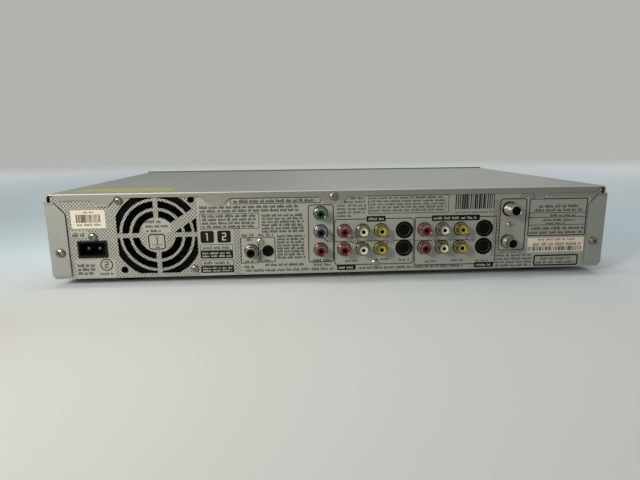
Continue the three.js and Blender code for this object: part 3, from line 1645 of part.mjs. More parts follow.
// The hard drive.
const hddHigh = hddLow + hddWidth;
const hddTop = hddBottom + hddHeight;
const hddLidBottom = hddTop - hddLid;
const hddWellBottom = hddBottom + hddFloor;
const spindleX = hddMiddle;
const spindleWorldY = hddFront + platterY;
const armX = hddLow + armPivotX;
const armY = hddFront + armPivotY;
const platterLow = hddWellBottom + platterFirst;
const platterStack = platterThickness + platterSpacing;
const armZ = platterLow + platterThickness + (platterSpacing - armThickness) / 2;

function hddBracket() {
  const top = hddBottom - seatGap;
  const plate = block(hddLow, hddHigh, hddFront, hddBack, top - bracketSheet, top);
  const window = block(
    hddLow + bracketFoot, hddHigh - bracketFoot, hddFront + bracketFoot, hddBack - bracketFoot,
    top - bracketSheet - overrun, top + overrun,
  );
  const legs = [];
  for (const lowY of [hddFront, hddBack - bracketFoot]) {
    for (const [lowX, highX] of [[hddLow, hddLow + bracketSheet], [hddHigh - bracketSheet, hddHigh]]) {
      legs.push(block(lowX, highX, lowY, lowY + bracketFoot, floorTop + seatGap, top));
    }
    const footLow = floorTop + seatGap;
    legs.push(block(hddLow, hddLow + bracketEar, lowY, lowY + bracketFoot, footLow, footLow + bracketSheet));
    legs.push(block(hddHigh - bracketEar, hddHigh, lowY, lowY + bracketFoot, footLow, footLow + bracketSheet));
  }
  return joined([cut(plate, [window]), ...legs]);
}

function hddBase() {
  const body = block(hddLow, hddHigh, hddFront, hddBack, hddBottom, hddLidBottom - seatGap);
  const high = hddTop;
  const platterWell = rod("z", platterRadius + hddWall / 2, hddWellBottom, high, spindleX, spindleWorldY, fineSides);
  const armWell = block(
    hddLow + hddWall, hddHigh - hddWall, armY - armTail - hddWall * 5, hddBack - hddWall, hddWellBottom, high,
  );
  const spindle = rod("z", platterHubBore - seatGap, hddWellBottom - overrun, hddLidBottom - overrun, spindleX, spindleWorldY);
  const pin = rod("z", armPin, hddWellBottom - overrun, hddLidBottom - overrun, armX, armY, smallSides);
  return joined([cut(body, [platterWell, armWell]), spindle, pin]);
}

function hddPlatters() {
  const first = rod("z", platterRadius, platterLow, platterLow + platterThickness, 0, 0, fineSides);
  const second = rod(
    "z", platterRadius, platterLow + platterStack, platterLow + platterStack + platterThickness, 0, 0, fineSides,
  );
  const hubTop = platterLow + platterStack + platterThickness + overrun;
  const hub = rod("z", platterHub, hddWellBottom + seatGap, hubTop, 0, 0);
  const bore = rod("z", platterHubBore, hddWellBottom - overrun, hubTop + overrun, 0, 0);
  return cut(joined([first, second, hub]), [bore]);
}

// The arm points along +X from its pivot, with the coil's tail behind it.
function hddActuator() {
  const low = armZ;
  const high = armZ + armThickness;
  const arm = prism(
    "z",
    outline([
      [0, -armRootHalf],
      [armReach, -armTipHalf],
      [armReach, armTipHalf],
      [0, armRootHalf],
    ]),
    low, high,
  );
  const tail = prism(
    "z",
    outline([
      [0, -armRootHalf / 2],
      [0, armRootHalf / 2],
      [-armTail, armTailHalf],
      [-armTail, -armTailHalf],
    ]),
    low, high,
  );
  const hub = rod("z", armPivotRadius, hddWellBottom + seatGap, hddLidBottom - overrun * 2, 0, 0);
  const bore = rod("z", armPin + seatGap, hddWellBottom - overrun, hddTop, 0, 0, smallSides);
  return cut(joined([arm, tail, hub]), [bore]);
}

function hddLidPlate() {
  return block(hddLow, hddHigh, hddFront, hddBack, hddLidBottom, hddTop);
}

place("hdd_bracket", hddBracket(), bareSteel);
place("hdd_base", hddBase(), castMetal);
place("hdd_lid", hddLidPlate(), bareSteel);
const platters = place("hdd_platters", hddPlatters(), platterMirror);
platters.position.set(spindleX, spindleWorldY, 0);
const actuator = place("hdd_actuator", hddActuator(), castMetal);
actuator.position.set(armX, armY, 0);
actuator.rotation.z = -THREE.MathUtils.degToRad(armParkDegrees);

// A flat cable that rises from a back wall and comes down into its socket on the main board.
function ribbon(middleX, width, startY, startZ) {
  const endY = boardSocketY;
  const endZ = boardTop + ribbonSocketHeight + seatGap;
  const crest = startZ + ribbonRise;
  const lean = (endY - startY) / 4;
  const upper = new THREE.CubicBezierCurve(
    new THREE.Vector2(startY, startZ),
    new THREE.Vector2(startY + lean * 2, startZ),
    new THREE.Vector2(endY, crest),
    new THREE.Vector2(endY, endZ),
  );
  const steps = cornerSteps * 3;
  const side = (sign) =>
    upper.getPoints(steps).map((point, index) => {
      const tangent = upper.getTangent(index / steps);
      const away = (sign * ribbonThickness) / 2;
      return [point.x - tangent.y * away, point.y + tangent.x * away];
    });
  const shape = outline([...side(-1), ...side(1).reverse()]);
  return prism("x", shape, middleX - width / 2, middleX + width / 2);
}

const ribbonLevel = hddBottom + hddFloor / 2;
place("hdd_ribbon", ribbon(hddMiddle, hddRibbonWidth, hddBack + seatGap, ribbonLevel), ribbonGrey);
place("drive_ribbon", ribbon(driveX, driveRibbonWidth, driveRear + seatGap, ribbonLevel), ribbonGrey);

export default unit;
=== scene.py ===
"""A disc and hard drive video recorder, seen from behind: its finished surfaces, print, light and camera."""
import json
import random
from math import cos, pi, radians, sin

import bmesh
import bpy
from mathutils import Matrix, Vector


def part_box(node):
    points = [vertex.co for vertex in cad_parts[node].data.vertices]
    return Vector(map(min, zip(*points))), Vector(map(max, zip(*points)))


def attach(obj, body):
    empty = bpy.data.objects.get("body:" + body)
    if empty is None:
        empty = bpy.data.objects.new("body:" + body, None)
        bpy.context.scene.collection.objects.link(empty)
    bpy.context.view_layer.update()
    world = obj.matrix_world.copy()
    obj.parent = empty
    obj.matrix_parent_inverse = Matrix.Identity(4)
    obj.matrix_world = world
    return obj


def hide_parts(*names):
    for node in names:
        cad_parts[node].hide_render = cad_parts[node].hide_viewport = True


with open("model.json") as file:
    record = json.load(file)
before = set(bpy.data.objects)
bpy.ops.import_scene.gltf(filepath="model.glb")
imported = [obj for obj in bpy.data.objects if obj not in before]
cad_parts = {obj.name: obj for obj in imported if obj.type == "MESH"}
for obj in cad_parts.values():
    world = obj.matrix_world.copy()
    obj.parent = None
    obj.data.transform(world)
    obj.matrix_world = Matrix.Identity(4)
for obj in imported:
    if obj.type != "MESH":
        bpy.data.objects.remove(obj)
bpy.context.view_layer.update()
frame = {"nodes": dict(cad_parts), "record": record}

MM = 0.001
BODIES = frame["record"]["behaviour"]["bodies"]
BODY_OF = {node: body for body, nodes in BODIES.items() for node in nodes}


# Places in millimetres, as on the solid model: +Y is the connector side and +Z is up.


def span(node, axis):
    """The low and the high end of a solid's box along an axis."""
    return [round(corner["XYZ".index(axis)] / MM, 3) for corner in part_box(node)]


def middle(node):
    """The middle of a solid's box."""
    low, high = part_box(node)
    return [round((start + end) / 2 / MM, 3) for start, end in zip(low, high)]


PANEL = span("rear_panel", "Y")[1]
PANEL_LOW = span("rear_panel", "Z")[0]
LIP = span("top_cover", "Y")[1]
COVER_TOP = span("top_cover", "Z")[1]
FRONT = span("front_panel", "Y")[0]
# How far print stands out of the panel and reaches into it.
INK_PROUD = 0.04
INK_SUNK = 0.02


# Materials.


def tone(red, green, blue):
    """A colour from 0 to 255, as it looks on a screen, as the linear value that a shader takes."""

    def linear(value):
        share = value / 255
        return share / 12.92 if share <= 0.04045 else ((share + 0.055) / 1.055) ** 2.4

    return (linear(red), linear(green), linear(blue), 1)


def scaled(colour, factor):
    return tuple(min(1, part * factor) for part in colour[:3]) + (1,)


class Shader:
    """A material that is being built, with short calls for the nodes that are used again and again."""

    def __init__(self, name, roughness, metallic=0):
        self.material = bpy.data.materials.new(name)
        self.material.use_nodes = True
        self.tree = self.material.node_tree
        self.surface = self.tree.nodes["Principled BSDF"]
        self.surface.inputs["Roughness"].default_value = roughness
        self.surface.inputs["Metallic"].default_value = metallic
        self.place = self.node("TexCoord").outputs["Object"]

    def node(self, kind, **settings):
        made = self.tree.nodes.new(f"ShaderNode{kind}")
        for key, value in settings.items():
            setattr(made, key, value)
        return made

    def wire(self, source, target):
        if isinstance(source, (int, float, tuple)):
            target.default_value = source
        else:
            self.tree.links.new(source, target)

    def calc(self, operation, *values):
        made = self.node("Math", operation=operation)
        for index, value in enumerate(values):
            self.wire(value, made.inputs[index])
        return made.outputs[0]

    def times(self, first, second):
        return self.calc("MULTIPLY", first, second)

    def noise(self, scale, detail=3, stretch=(1, 1, 1)):
        mapping = self.node("Mapping")
        mapping.inputs["Scale"].default_value = stretch
        self.wire(self.place, mapping.inputs["Vector"])
        made = self.node("TexNoise")
        made.inputs["Scale"].default_value = scale
        made.inputs["Detail"].default_value = detail
        self.wire(mapping.outputs[0], made.inputs["Vector"])
        return made.outputs["Fac"]

    def ranged(self, value, low, high, start=0.32, end=0.68):
        made = self.node("MapRange")
        self.wire(value, made.inputs["Value"])
        for name, end_value in zip(("From Min", "From Max", "To Min", "To Max"), (start, end, low, high)):
            made.inputs[name].default_value = end_value
        return made.outputs["Result"]

    def rising(self, value, start, end):
        """0 up to the start and 1 from the end on."""
        return self.ranged(value, 0, 1, start, end)

    def axes(self):
        """The place on the surface as its X, Y and Z."""
        parts = self.node("SeparateXYZ")
        self.wire(self.place, parts.inputs[0])
        return tuple(parts.outputs)

    def length(self, vector):
        made = self.node("VectorMath", operation="LENGTH")
        self.wire(vector, made.inputs[0])
        return made.outputs["Value"]

    def mix(self, factor, first, second):
        made = self.node("Mix", data_type="RGBA")
        self.wire(factor, made.inputs["Factor"])
        self.wire(first, made.inputs[6])
        self.wire(second, made.inputs[7])
        return made.outputs[2]

    def colour(self, source):
        self.wire(source, self.surface.inputs["Base Color"])

    def plain_colour(self):
        """What gives the surface its colour so far."""
        return self.surface.inputs["Base Color"].links[0].from_socket

    def bump(self, height, depth):
        made = self.node("Bump")
        made.inputs["Strength"].default_value = 1
        made.inputs["Distance"].default_value = depth * MM
        self.wire(height, made.inputs["Height"])
        self.wire(made.outputs["Normal"], self.surface.inputs["Normal"])


# How much of a surface's change of tone is in its grain.
GRAIN_SHARE = 0.35
LEAST_ROUGHNESS = 0.02
COAT_ROUGHNESS = 0.08


def finish(
    name, colour, roughness, metallic=0, mottle=0.06, mottle_scale=14, grain=0.02, grain_scale=1100,
    stretch=(1, 1, 1), spread=0.06, coat=0, specular=0.5,
):
    """A surface with slow changes of tone, a fine grain in its height and sheen, and an optional clear coat."""
    shader = Shader(name, roughness, metallic)
    patches = shader.ranged(shader.noise(mottle_scale), 0, 1)
    speckle = shader.noise(grain_scale, 2, stretch)
    fine = shader.ranged(speckle, 0, 1)
    slow = shader.times(patches, 1 - GRAIN_SHARE)
    blend = shader.calc("MULTIPLY_ADD", fine, GRAIN_SHARE, slow)
    shader.colour(shader.mix(blend, scaled(colour, 1 - mottle), scaled(colour, 1 + mottle)))
    sheen = shader.ranged(speckle, max(LEAST_ROUGHNESS, roughness - spread), roughness + spread)
    shader.wire(sheen, shader.surface.inputs["Roughness"])
    shader.bump(speckle, grain)
    shader.surface.inputs["Specular IOR Level"].default_value = specular
    if coat:
        shader.surface.inputs["Coat Weight"].default_value = coat
        shader.surface.inputs["Coat Roughness"].default_value = COAT_ROUGHNESS
    return shader


# Where the connector panel has its fine dots: middle and half size along X and Z, in millimetres.
DOTTED = (
    (155.6, 54.1, 38, 32), (73.4, 2.6, 24, 20), (-124.4, 2.2, 38, 22), (-147.5, 5.5, 63.5, 2.4),
    (-184, 21, 63.5, 2.4), (-203, 5, 52, 18),
)
# Where print, and not dots, covers a dotted part, in the same way.
PLAIN = ((132.5, 7.4, 33, 6.4), (131.6, 10, 45.4, 5.4), (188.2, 6.4, 39.8, 2.4), (179, 14.4, 13, 7.4))
# The dots' spacing along X and Z and their depth in millimetres, the share of the spacing at which a dot ends, and
# how dark it is.
DOT_PITCH = 2.5
DOT_ROWS = 2.7
DOT_DEPTH = 0.12
DOT_EDGE = (0.25, 0.35)
DOT_STRENGTH = 0.92
DOT_TONE = 0.1


def panel_finish():
    """Satin paint with staggered rows of small dark dimples in the parts of the panel without print."""
    base = tone(155, 156, 147)
    shader = finish("panel_paint", base, 0.5, 0.35, mottle=0.05, grain=0.012, grain_scale=1500)
    plain = shader.plain_colour()
    waves = shader.node("CombineXYZ")
    for index, sign in enumerate((1, -1)):
        slant = shader.node("VectorMath", operation="DOT_PRODUCT")
        shader.wire(shader.place, slant.inputs[0])
        slant.inputs[1].default_value = (1 / (DOT_PITCH * MM), 0, sign / (DOT_ROWS * MM))
        shader.wire(shader.calc("PINGPONG", slant.outputs["Value"], 0.5), waves.inputs[index])
    dot = shader.ranged(shader.length(waves.outputs[0]), 1, 0, *DOT_EDGE)
    x, _, z = shader.axes()

    def covered(areas):
        where = 0
        for middle_x, half_x, middle_z, half_z in areas:
            across = shader.calc("COMPARE", x, middle_x * MM, half_x * MM)
            upward = shader.calc("COMPARE", z, middle_z * MM, half_z * MM)
            where = shader.calc("MAXIMUM", where, shader.times(across, upward))
        return where

    unprinted = shader.calc("SUBTRACT", 1, covered(PLAIN))
    dimple = shader.times(dot, shader.times(covered(DOTTED), unprinted))
    shader.colour(shader.mix(shader.times(dimple, DOT_STRENGTH), plain, scaled(base, DOT_TONE)))
    shader.bump(shader.calc("SUBTRACT", 1, dimple), DOT_DEPTH)
    return shader.material


# Depths in millimetres over which the cover's paint changes to a painted shade on the rear lip and a painted
# highlight along the fold above it: in from the lip's back, and down from the cover's top.
LIP_FACE = (0.9, 0.7)
LIP_SHADE_START = (9, 7)
FOLD_HIGHLIGHT_START = (0.7, 0.45)


def within(surface, depths):
    """Two places in metres, at depths in millimetres under a surface."""
    return [(surface - depth) * MM for depth in depths]


def cover_finish():
    """Satin paint, with a painted shade that darkens the rear lip and a painted highlight that makes the fold above
    it paler.
    """
    shader = finish("cover_paint", tone(147, 148, 143), 0.44, 0.4, grain=0.014)
    plain = shader.plain_colour()
    _, y, z = shader.axes()
    behind = shader.rising(y, *within(LIP, LIP_FACE))
    fold = shader.rising(z, *within(COVER_TOP, FOLD_HIGHLIGHT_START))
    lip = shader.rising(z, *within(COVER_TOP, LIP_SHADE_START))
    # The rear lip gets a painted shade.
    shaded = shader.mix(shader.times(behind, lip), plain, tone(130, 130, 123))
    # The fold between the top and the lip gets a painted highlight.
    shader.colour(shader.mix(shader.times(behind, fold), shaded, tone(208, 204, 190)))
    return shader.material


# The heights over a board where its parts begin and where the tall ones do.
BOARD_THICKNESS = 1.6
PARTS_START = (0.1, 0.3)
TALL_START = (4, 4.4)


def board_finish():
    """Green laminate, with dark plastic for what stands on it."""
    shader = finish("fitted_board", tone(38, 96, 62), 0.42, mottle=0.2, mottle_scale=60, coat=0.2)
    plain = shader.plain_colour()
    _, _, z = shader.axes()
    top = span("main_board", "Z")[0] + BOARD_THICKNESS
    above = shader.rising(z, *((top + height) * MM for height in PARTS_START))
    tall = shader.rising(z, *((top + height) * MM for height in TALL_START))
    standing = shader.mix(tall, tone(34, 34, 36), tone(58, 60, 62))
    shader.colour(shader.mix(above, plain, standing))
    return shader.material


def make_materials():
    """Every finish by its name, from its colour, its roughness and what else differs from finish's own values."""
    brushed = (1, 1, 14)
    sleeve = dict(metallic=1, grain=0.004)
    insert = dict(grain=0.008, specular=0.3)
    ink = dict(mottle=0.2, mottle_scale=400, specular=0.15)
    paper = dict(mottle=0.03, grain=0.01)
    worn = dict(metallic=1, mottle=0.1)
    table = dict(
        lip_paint=((166, 165, 154), 0.44, dict(metallic=0.35, grain=0.012)),
        chassis_steel=((132, 134, 132), 0.36, dict(metallic=0.9, mottle=0.12, stretch=brushed)),
        screw_steel=((136, 134, 126), 0.3, worn),
        dull_screw=((158, 158, 150), 0.2, worn),
        # A darker metal that is a painted shade for pins and shields down inside their sockets.
        shaded_pin_metal=((84, 84, 82), 0.5, dict(metallic=0.8, mottle=0.1)),
        bright_nickel=((142, 138, 124), 0.22, dict(mottle=0.07, **sleeve)),
        red_sleeve=((148, 116, 112), 0.22, sleeve),
        yellow_sleeve=((148, 140, 92), 0.22, sleeve),
        green_sleeve=((126, 140, 130), 0.22, sleeve),
        grey_sleeve=((146, 143, 146), 0.22, sleeve),
        nickel_can=((152, 147, 134), 0.3, worn),
        foot_rubber=((34, 34, 36), 0.8, dict(grain=0.05, specular=0.3)),
        jack_plastic=((6, 6, 6), 0.42, dict(grain=0.02, mottle=0.2, specular=0.08)),
        black_plastic=((10, 10, 10), 0.5, dict(grain=0.03, mottle=0.2, specular=0.15)),
        fan_black=((4, 4, 4), 0.6, dict(grain=0.02, mottle=0.2, specular=0.04)),
        # hole_black is a painted shade in the jacks' pin holes and round the aerials' feet, and also colours the
        # aerials' black cores.
        hole_black=((5, 5, 5), 0.7, dict(mottle=0.2, specular=0.05)),
        board_laminate=((38, 96, 62), 0.38, dict(mottle=0.2, mottle_scale=60, coat=0.3)),
        front_plastic=((176, 179, 178), 0.34, dict(metallic=0.35, grain=0.01, coat=0.25)),
        smoked_plastic=((22, 24, 27), 0.1, dict(grain=0.002, spread=0.03, coat=0.8)),
        tube_glass=((30, 44, 46), 0.12, dict(grain=0.002, spread=0.03, coat=0.5)),
        drive_plastic=((82, 84, 86), 0.5, dict(grain=0.03)),
        grey_plastic=((94, 96, 98), 0.48, dict(grain=0.03)),
        gear_plastic=((228, 226, 214), 0.4, dict(grain=0.01)),
        cast_metal=((150, 152, 154), 0.5, dict(metallic=0.85, grain=0.08, grain_scale=700)),
        platter_metal=((222, 224, 226), 0.08, dict(metallic=1, grain=0.001, spread=0.02)),
        ribbon_plastic=((184, 190, 196), 0.4, dict(grain=0.01)),
        red_insert=((96, 20, 26), 0.4, insert),
        white_insert=((226, 219, 198), 0.4, insert),
        yellow_insert=((180, 162, 80), 0.4, insert),
        green_insert=((10, 60, 40), 0.4, insert),
        blue_insert=((36, 31, 54), 0.4, insert),
        dark_ink=((26, 26, 24), 0.6, ink),
        tag_ink=((16, 16, 14), 0.6, dict(mottle=0.15, mottle_scale=300, specular=0.15)),
        light_ink=((176, 175, 164), 0.5, dict(metallic=0.2)),
        red_ink=((134, 58, 50), 0.5, dict(mottle=0.2, mottle_scale=400)),
        brown_ink=((74, 58, 44), 0.6, ink),
        label_paper=((204, 197, 180), 0.55, paper),
        plate_paper=((216, 208, 192), 0.55, paper),
        label_yellow=((158, 155, 80), 0.5, dict(mottle=0.07, mottle_scale=40, coat=0.15)),
    )
    made = {}
    for name, (colour, roughness, settings) in table.items():
        made[name] = finish(name, tone(*colour), roughness, **settings).material
    made["panel_paint"] = panel_finish()
    made["cover_paint"] = cover_finish()
    made["fitted_board"] = board_finish()
    return made


MATERIALS = make_materials()


# Forms, gathered in millimetres and turned into pieces in metres.

SHARP_ANGLE = 32
SMOOTH_ANGLE = 40
FLAT_ANGLE = 0.6
WELD = 0.000002


class Form:
    """Closed shapes gathered for one piece."""

    def __init__(self):
        self.points = []
        self.faces = []

    def add(self, points, faces):
        start = len(self.points)
        self.points.extend(points)
        self.faces.extend([start + index for index in face] for face in faces)

    def box(self, x0, x1, y0, y1, z0, z1):
        points = [(x, y, z) for x in (x0, x1) for y in (y0, y1) for z in (z0, z1)]
        faces = [(0, 1, 3, 2), (4, 6, 7, 5), (0, 4, 5, 1), (2, 3, 7, 6), (0, 2, 6, 4), (1, 5, 7, 3)]
        self.add(points, faces)

    def prism(self, outline, low, high, inner=None):
        """An outline of (x, z) places drawn out along Y, with an inner outline of as many places for a ring."""
        count = len(outline)
        loops = [[(x, y, z) for x, z in outline] for y in (low, high)]
        following = [(index, (index + 1) % count) for index in range(count)]
        faces = [(a, b, count + b, count + a) for a, b in following]
        if inner is None:
            faces += [tuple(range(count)), tuple(range(2 * count - 1, count - 1, -1))]
        else:
            loops += [[(x, y, z) for x, z in inner] for y in (low, high)]
            faces += [(2 * count + a, 3 * count + a, 3 * count + b, 2 * count + b) for a, b in following]
            faces += [(a, 2 * count + a, 2 * count + b, b) for a, b in following]
            faces += [(count + a, count + b, 3 * count + b, 3 * count + a) for a, b in following]
        self.add([point for loop in loops for point in loop], faces)

    def turned(self, profile, x, z, sides=40, axis="y"):
        """A profile of (radius, height) turned about a line along Y at x and z, or an upright one at x and y."""
        rows = []
        points = []
        for radius, height in profile:
            steps = 1 if radius == 0 else sides
            rows.append([len(points) + index for index in range(steps)])
            for index in range(steps):
                angle = 2 * pi * index / sides
                first = x + radius * cos(angle)
                second = z + radius * sin(angle)
                points.append((first, height, second) if axis == "y" else (first, second, height))
        on_axis = profile[0][0] == 0 and profile[-1][0] == 0
        pairs = list(zip(rows, rows[1:])) + ([] if on_axis else [(rows[-1], rows[0])])
        faces = []
        for low, high in pairs:
            for index in range(sides):
                following = (index + 1) % sides
                if len(low) == 1:
                    faces.append((low[0], high[index], high[following]))
                elif len(high) == 1:
                    faces.append((low[index], high[0], low[following]))
                else:
                    faces.append((low[index], high[index], high[following], low[following]))
        self.add(points, faces)

    def mesh(self, name):
        """The gathered shapes as a mesh in metres, its faces outward."""
        mesh = bpy.data.meshes.new(name)
        mesh.from_pydata([tuple(part * MM for part in point) for point in self.points], [], self.faces)
        turn_outward(mesh)
        return mesh

    def piece(self, name, material, slot=None, replaces=None, **options):
        return dressed(name, self.mesh(name), material, slot or material, replaces, **options)


def turn_outward(mesh):
    work = bmesh.new()
    work.from_mesh(mesh)
    bmesh.ops.recalc_face_normals(work, faces=work.faces)
    work.to_mesh(mesh)
    work.free()


def placed(name, data):
    made = bpy.data.objects.new(name, data)
    bpy.context.scene.collection.objects.link(made)
    return made


def apply_modifiers(made):
    graph = bpy.context.evaluated_depsgraph_get()
    result = bpy.data.meshes.new_from_object(made.evaluated_get(graph))
    made.modifiers.clear()
    made.data = result


def surfaced(made, material, smooth_angle=SMOOTH_ANGLE):
    """Gives an object its material, and smooth shading up to an angle."""
    made.data.materials.clear()
    made.data.materials.append(MATERIALS[material])
    made.data.shade_smooth()
    made.data.set_sharp_from_angle(angle=radians(smooth_angle))


def dressed(
    name, mesh, material, slot, replaces=None, rides_on="top_cover", bevel=0, smooth_angle=SMOOTH_ANGLE,
    weighted=False,
):
    """Turns a mesh into a piece with rounded edges, which rides on the body of the solid that it replaces, or of
    another. Where the rounding is weighted, each edge has its own share of the radius."""
    made = placed(name, mesh)
    if bevel:
        rounding = made.modifiers.new("rounded", "BEVEL")
        rounding.width = bevel * MM
        rounding.segments = 3 if weighted else 2
        rounding.limit_method = "WEIGHT" if weighted else "ANGLE"
        rounding.angle_limit = radians(SHARP_ANGLE)
        apply_modifiers(made)
    surfaced(made, material, smooth_angle)
    if bevel:
        made.modifiers.new("level", "WEIGHTED_NORMAL").keep_sharp = True
        apply_modifiers(made)
    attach(made, BODY_OF[replaces or rides_on])
    if replaces:
        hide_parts(replaces)
    return made


def turned_piece(name, profile, x, z, sides, material, slot=None, replaces=None, axis="y", **options):
    form = Form()
    form.turned(profile, x, z, sides, axis)
    return form.piece(name, material, slot, replaces, **options)


def softened(node, name, material, width, fold=0, folded=None):
    """A copy of a solid with rounded edges, those that the test named folded picks out by the radius of a fold."""
    work = bmesh.new()
    work.from_mesh(frame["nodes"][node].data)
    bmesh.ops.remove_doubles(work, verts=work.verts, dist=WELD)
    flat = radians(FLAT_ANGLE)
    bmesh.ops.dissolve_limit(work, angle_limit=flat, verts=work.verts, edges=work.edges)
    weights = work.edges.layers.float.new("bevel_weight_edge")
    widest = max(width, fold)
    for line in work.edges:
        if len(line.link_faces) != 2 or line.calc_face_angle(0) < radians(SHARP_ANGLE):
            continue
        round_fold = folded is not None and all(folded(vertex.co / MM) for vertex in line.verts)
        line[weights] = (fold if round_fold else width) / widest
    mesh = bpy.data.meshes.new(name)
    work.to_mesh(mesh)
    work.free()
    turn_outward(mesh)
    return dressed(name, mesh, material, material, node, bevel=widest, weighted=True)


def rounded(x0, x1, z0, z1, corner, steps=5):
    """The outline of a rectangle with round corners, as (x, z) places."""
    corner = min(corner, (x1 - x0) / 2, (z1 - z0) / 2)
    right, left = x1 - corner, x0 + corner
    top, bottom = z1 - corner, z0 + corner
    places = []
    for x, z, start in ((right, top, 0), (left, top, 90), (left, bottom, 180), (right, bottom, 270)):
        for step in range(steps + 1):
            angle = radians(start + 90 * step / steps)
            places.append((x + corner * cos(angle), z + corner * sin(angle)))
    return places


# The case.

KEYS = ("open_close", "stop", "play", "record", "power")
# Solids shown with rounded edges: the solid, its piece, its finish and the radius.
SOFTENED = (
    ("front_panel", "front_shell", "front_plastic", 0.45),
    ("tray_front", "tray_front_cap", "front_plastic", 0.4),
    ("flap_door", "flap_cap", "front_plastic", 0.35),
    ("display_window", "window_lens", "smoked_plastic", 0.3),
    ("ac_inlet", "inlet_shell", "black_plastic", 0.3),
    *((f"{key}_button", f"{key}_cap", "front_plastic", 0.3) for key in KEYS),
)
COVER_EDGE = 0.3
COVER_FOLD = 0.95


def on_rear_fold(place):
    """Whether a place is on the fold between the cover's top and its rear lip."""
    near = 0.1
    return place.z > COVER_TOP - near and place.y > LIP - near


def make_case():
    softened("top_cover", "cover_shell", "cover_paint", COVER_EDGE, COVER_FOLD, on_rear_fold)
    for node, name, material, radius in SOFTENED:
        softened(node, name, material, radius)


# The bead's half length, its depth from the front, its height over the cover's top and its edges' radius.
BEAD_END = 208.6
BEAD_DEPTH = (14.6, 17.8)
BEAD_HEIGHT = (-0.4, 1.1)
BEAD_EDGE = 0.35


def make_front_bead():
    """The slim bead where the front shell meets the cover's top, in a darker grey that is a painted shade for the
    seam there.
    """
    form = Form()
    near, far = (FRONT + depth for depth in BEAD_DEPTH)
    low, high = (COVER_TOP + height for height in BEAD_HEIGHT)
    form.box(-BEAD_END, BEAD_END, near, far, low, high)
    # The bead's darker grey is a painted shade for the seam between the shell and the cover.
    form.piece("front_bead", "grey_plastic", "front_plastic", rides_on="front_panel", bevel=BEAD_EDGE)


# A foot as (radius, height).
FOOT_PROFILE = (
    (0, 0.5), (10.6, 0.5), (11.2, 0.1), (11.8, 0), (15.9, 0), (16.7, 0.2), (17, 0.9), (16.3, 3.4), (15.4, 5.2),
    (14.6, 5.7), (3, 5.7), (3, 9.2), (0, 9.2),
)


def make_feet():
    for name in ("front_left", "front_right", "rear_left", "rear_right"):
        x, y, _ = middle(f"foot_{name}")
        turned_piece(f"foot_pad_{name}", FOOT_PROFILE, x, y, 64, "foot_rubber", None, f"foot_{name}", "z")


# Shares of a screw head's radius (WIDE, REACH, HALF) and of its height, and the shank's depth in millimetres.
SHANK_DEEP = 5
SHANK_WIDE = 0.5
RIM_HIGH = 0.35
DOME_STEPS = 6
ARM_REACH = 0.56
ARM_HALF = 0.13
ARM_PLACE = 0.85
ARM_DEEP = 0.75


def screw(name, x, z, face, radius, height, node=None, turn=20, material="screw_steel"):
    """A round-headed screw with a cross recess, its head on the given face."""
    shank = radius * SHANK_WIDE
    dome = [(0, face - SHANK_DEEP), (shank, face - SHANK_DEEP), (shank, face), (radius, face)]
    for step in range(1, DOME_STEPS + 1):
        angle = radians(90 / DOME_STEPS * step)
        reach = radius * cos(angle) if step < DOME_STEPS else 0
        dome.append((reach, face + height * (RIM_HIGH + (1 - RIM_HIGH) * sin(angle))))
    made = turned_piece(name, dome, x, z, 36, material, "screw_steel", node)
    arm = Form()
    reach = radius * ARM_REACH
    half = radius * ARM_HALF
    arm.box(-reach, reach, -height * ARM_DEEP, height, -half, half)
    recess = Matrix.Translation((x * MM, (face + height * ARM_PLACE) * MM, z * MM))
    cutters = [placed("recess", arm.mesh("recess")) for _ in range(2)]
    for cutter, angle in zip(cutters, (turn, turn + 90)):
        cutter.matrix_world = recess @ Matrix.Rotation(radians(angle), 4, "Y")
        carve = made.modifiers.new("recess", "BOOLEAN")
        carve.object = cutter
        carve.solver = "EXACT"
    bpy.context.view_layer.update()
    apply_modifiers(made)
    surfaced(made, material)
    for cutter in cutters:
        bpy.data.objects.remove(cutter)


# The screws that are solids, each with the face under its head and the head's radius.
BIG_SCREWS = (
    ("cover_screw_left", 129.6, 3.3), ("cover_screw_right", 129.6, 3.3), ("cover_screw_top", 129.6, 3.1),
    ("fan_screw_upper", 128.3, 2.7), ("fan_screw_lower", 128.3, 2.7), ("inlet_screw", 128.3, 3.1),
)
BIG_HEAD = 1.9
# The screws of the jack boards, each with its place along X and Z and its head's radius.
SMALL_SCREWS = (
    ("output", -15.6, 31, 2.9), ("output_far", -42.5, 30.4, 2.9), ("component", 3.9, 33.2, 2.9),
    ("output_low", -31.7, 12.5, 2.9), ("input", -105.3, 30.5, 2.9), ("aerial", -135.6, 40.4, 2.3),
    ("digital", 55.9, 30.9, 2.9), ("input_near", -76.5, 30.6, 2.9),
)
SMALL_HEAD = 1.3
SMALL_FACE = PANEL + 0.02


def make_screws():
    for index, (node, face, radius) in enumerate(BIG_SCREWS):
        x, _, z = middle(node)
        screw(f"{node}_head", x, z, face, radius, BIG_HEAD, node, 12 + 31 * index)
    for index, (name, x, z, radius) in enumerate(SMALL_SCREWS):
        turn = 8 + 37 * index
        screw(f"board_screw_{name}", x, z, SMALL_FACE, radius, SMALL_HEAD, turn=turn, material="dull_screw")


# The connectors. Their profiles are (radius, place along Y) in millimetres.

JACK_PITCH = 14
ROWS = (24.1, 24.1 + JACK_PITCH)
TOP_ROW = 24.1 + 2 * JACK_PITCH
OUTPUT_X = tuple(-7.4 - JACK_PITCH * step for step in range(3))
INPUT_X = tuple(-69 - JACK_PITCH * step for step in range(3))
OUTPUT_VIDEO_X = -53.4
INPUT_VIDEO_X = -115.6
COMPONENT_X = 10.4
DIGITAL_X = 62.8
CONTROL_X = 50.6
AERIAL_X = -134.6
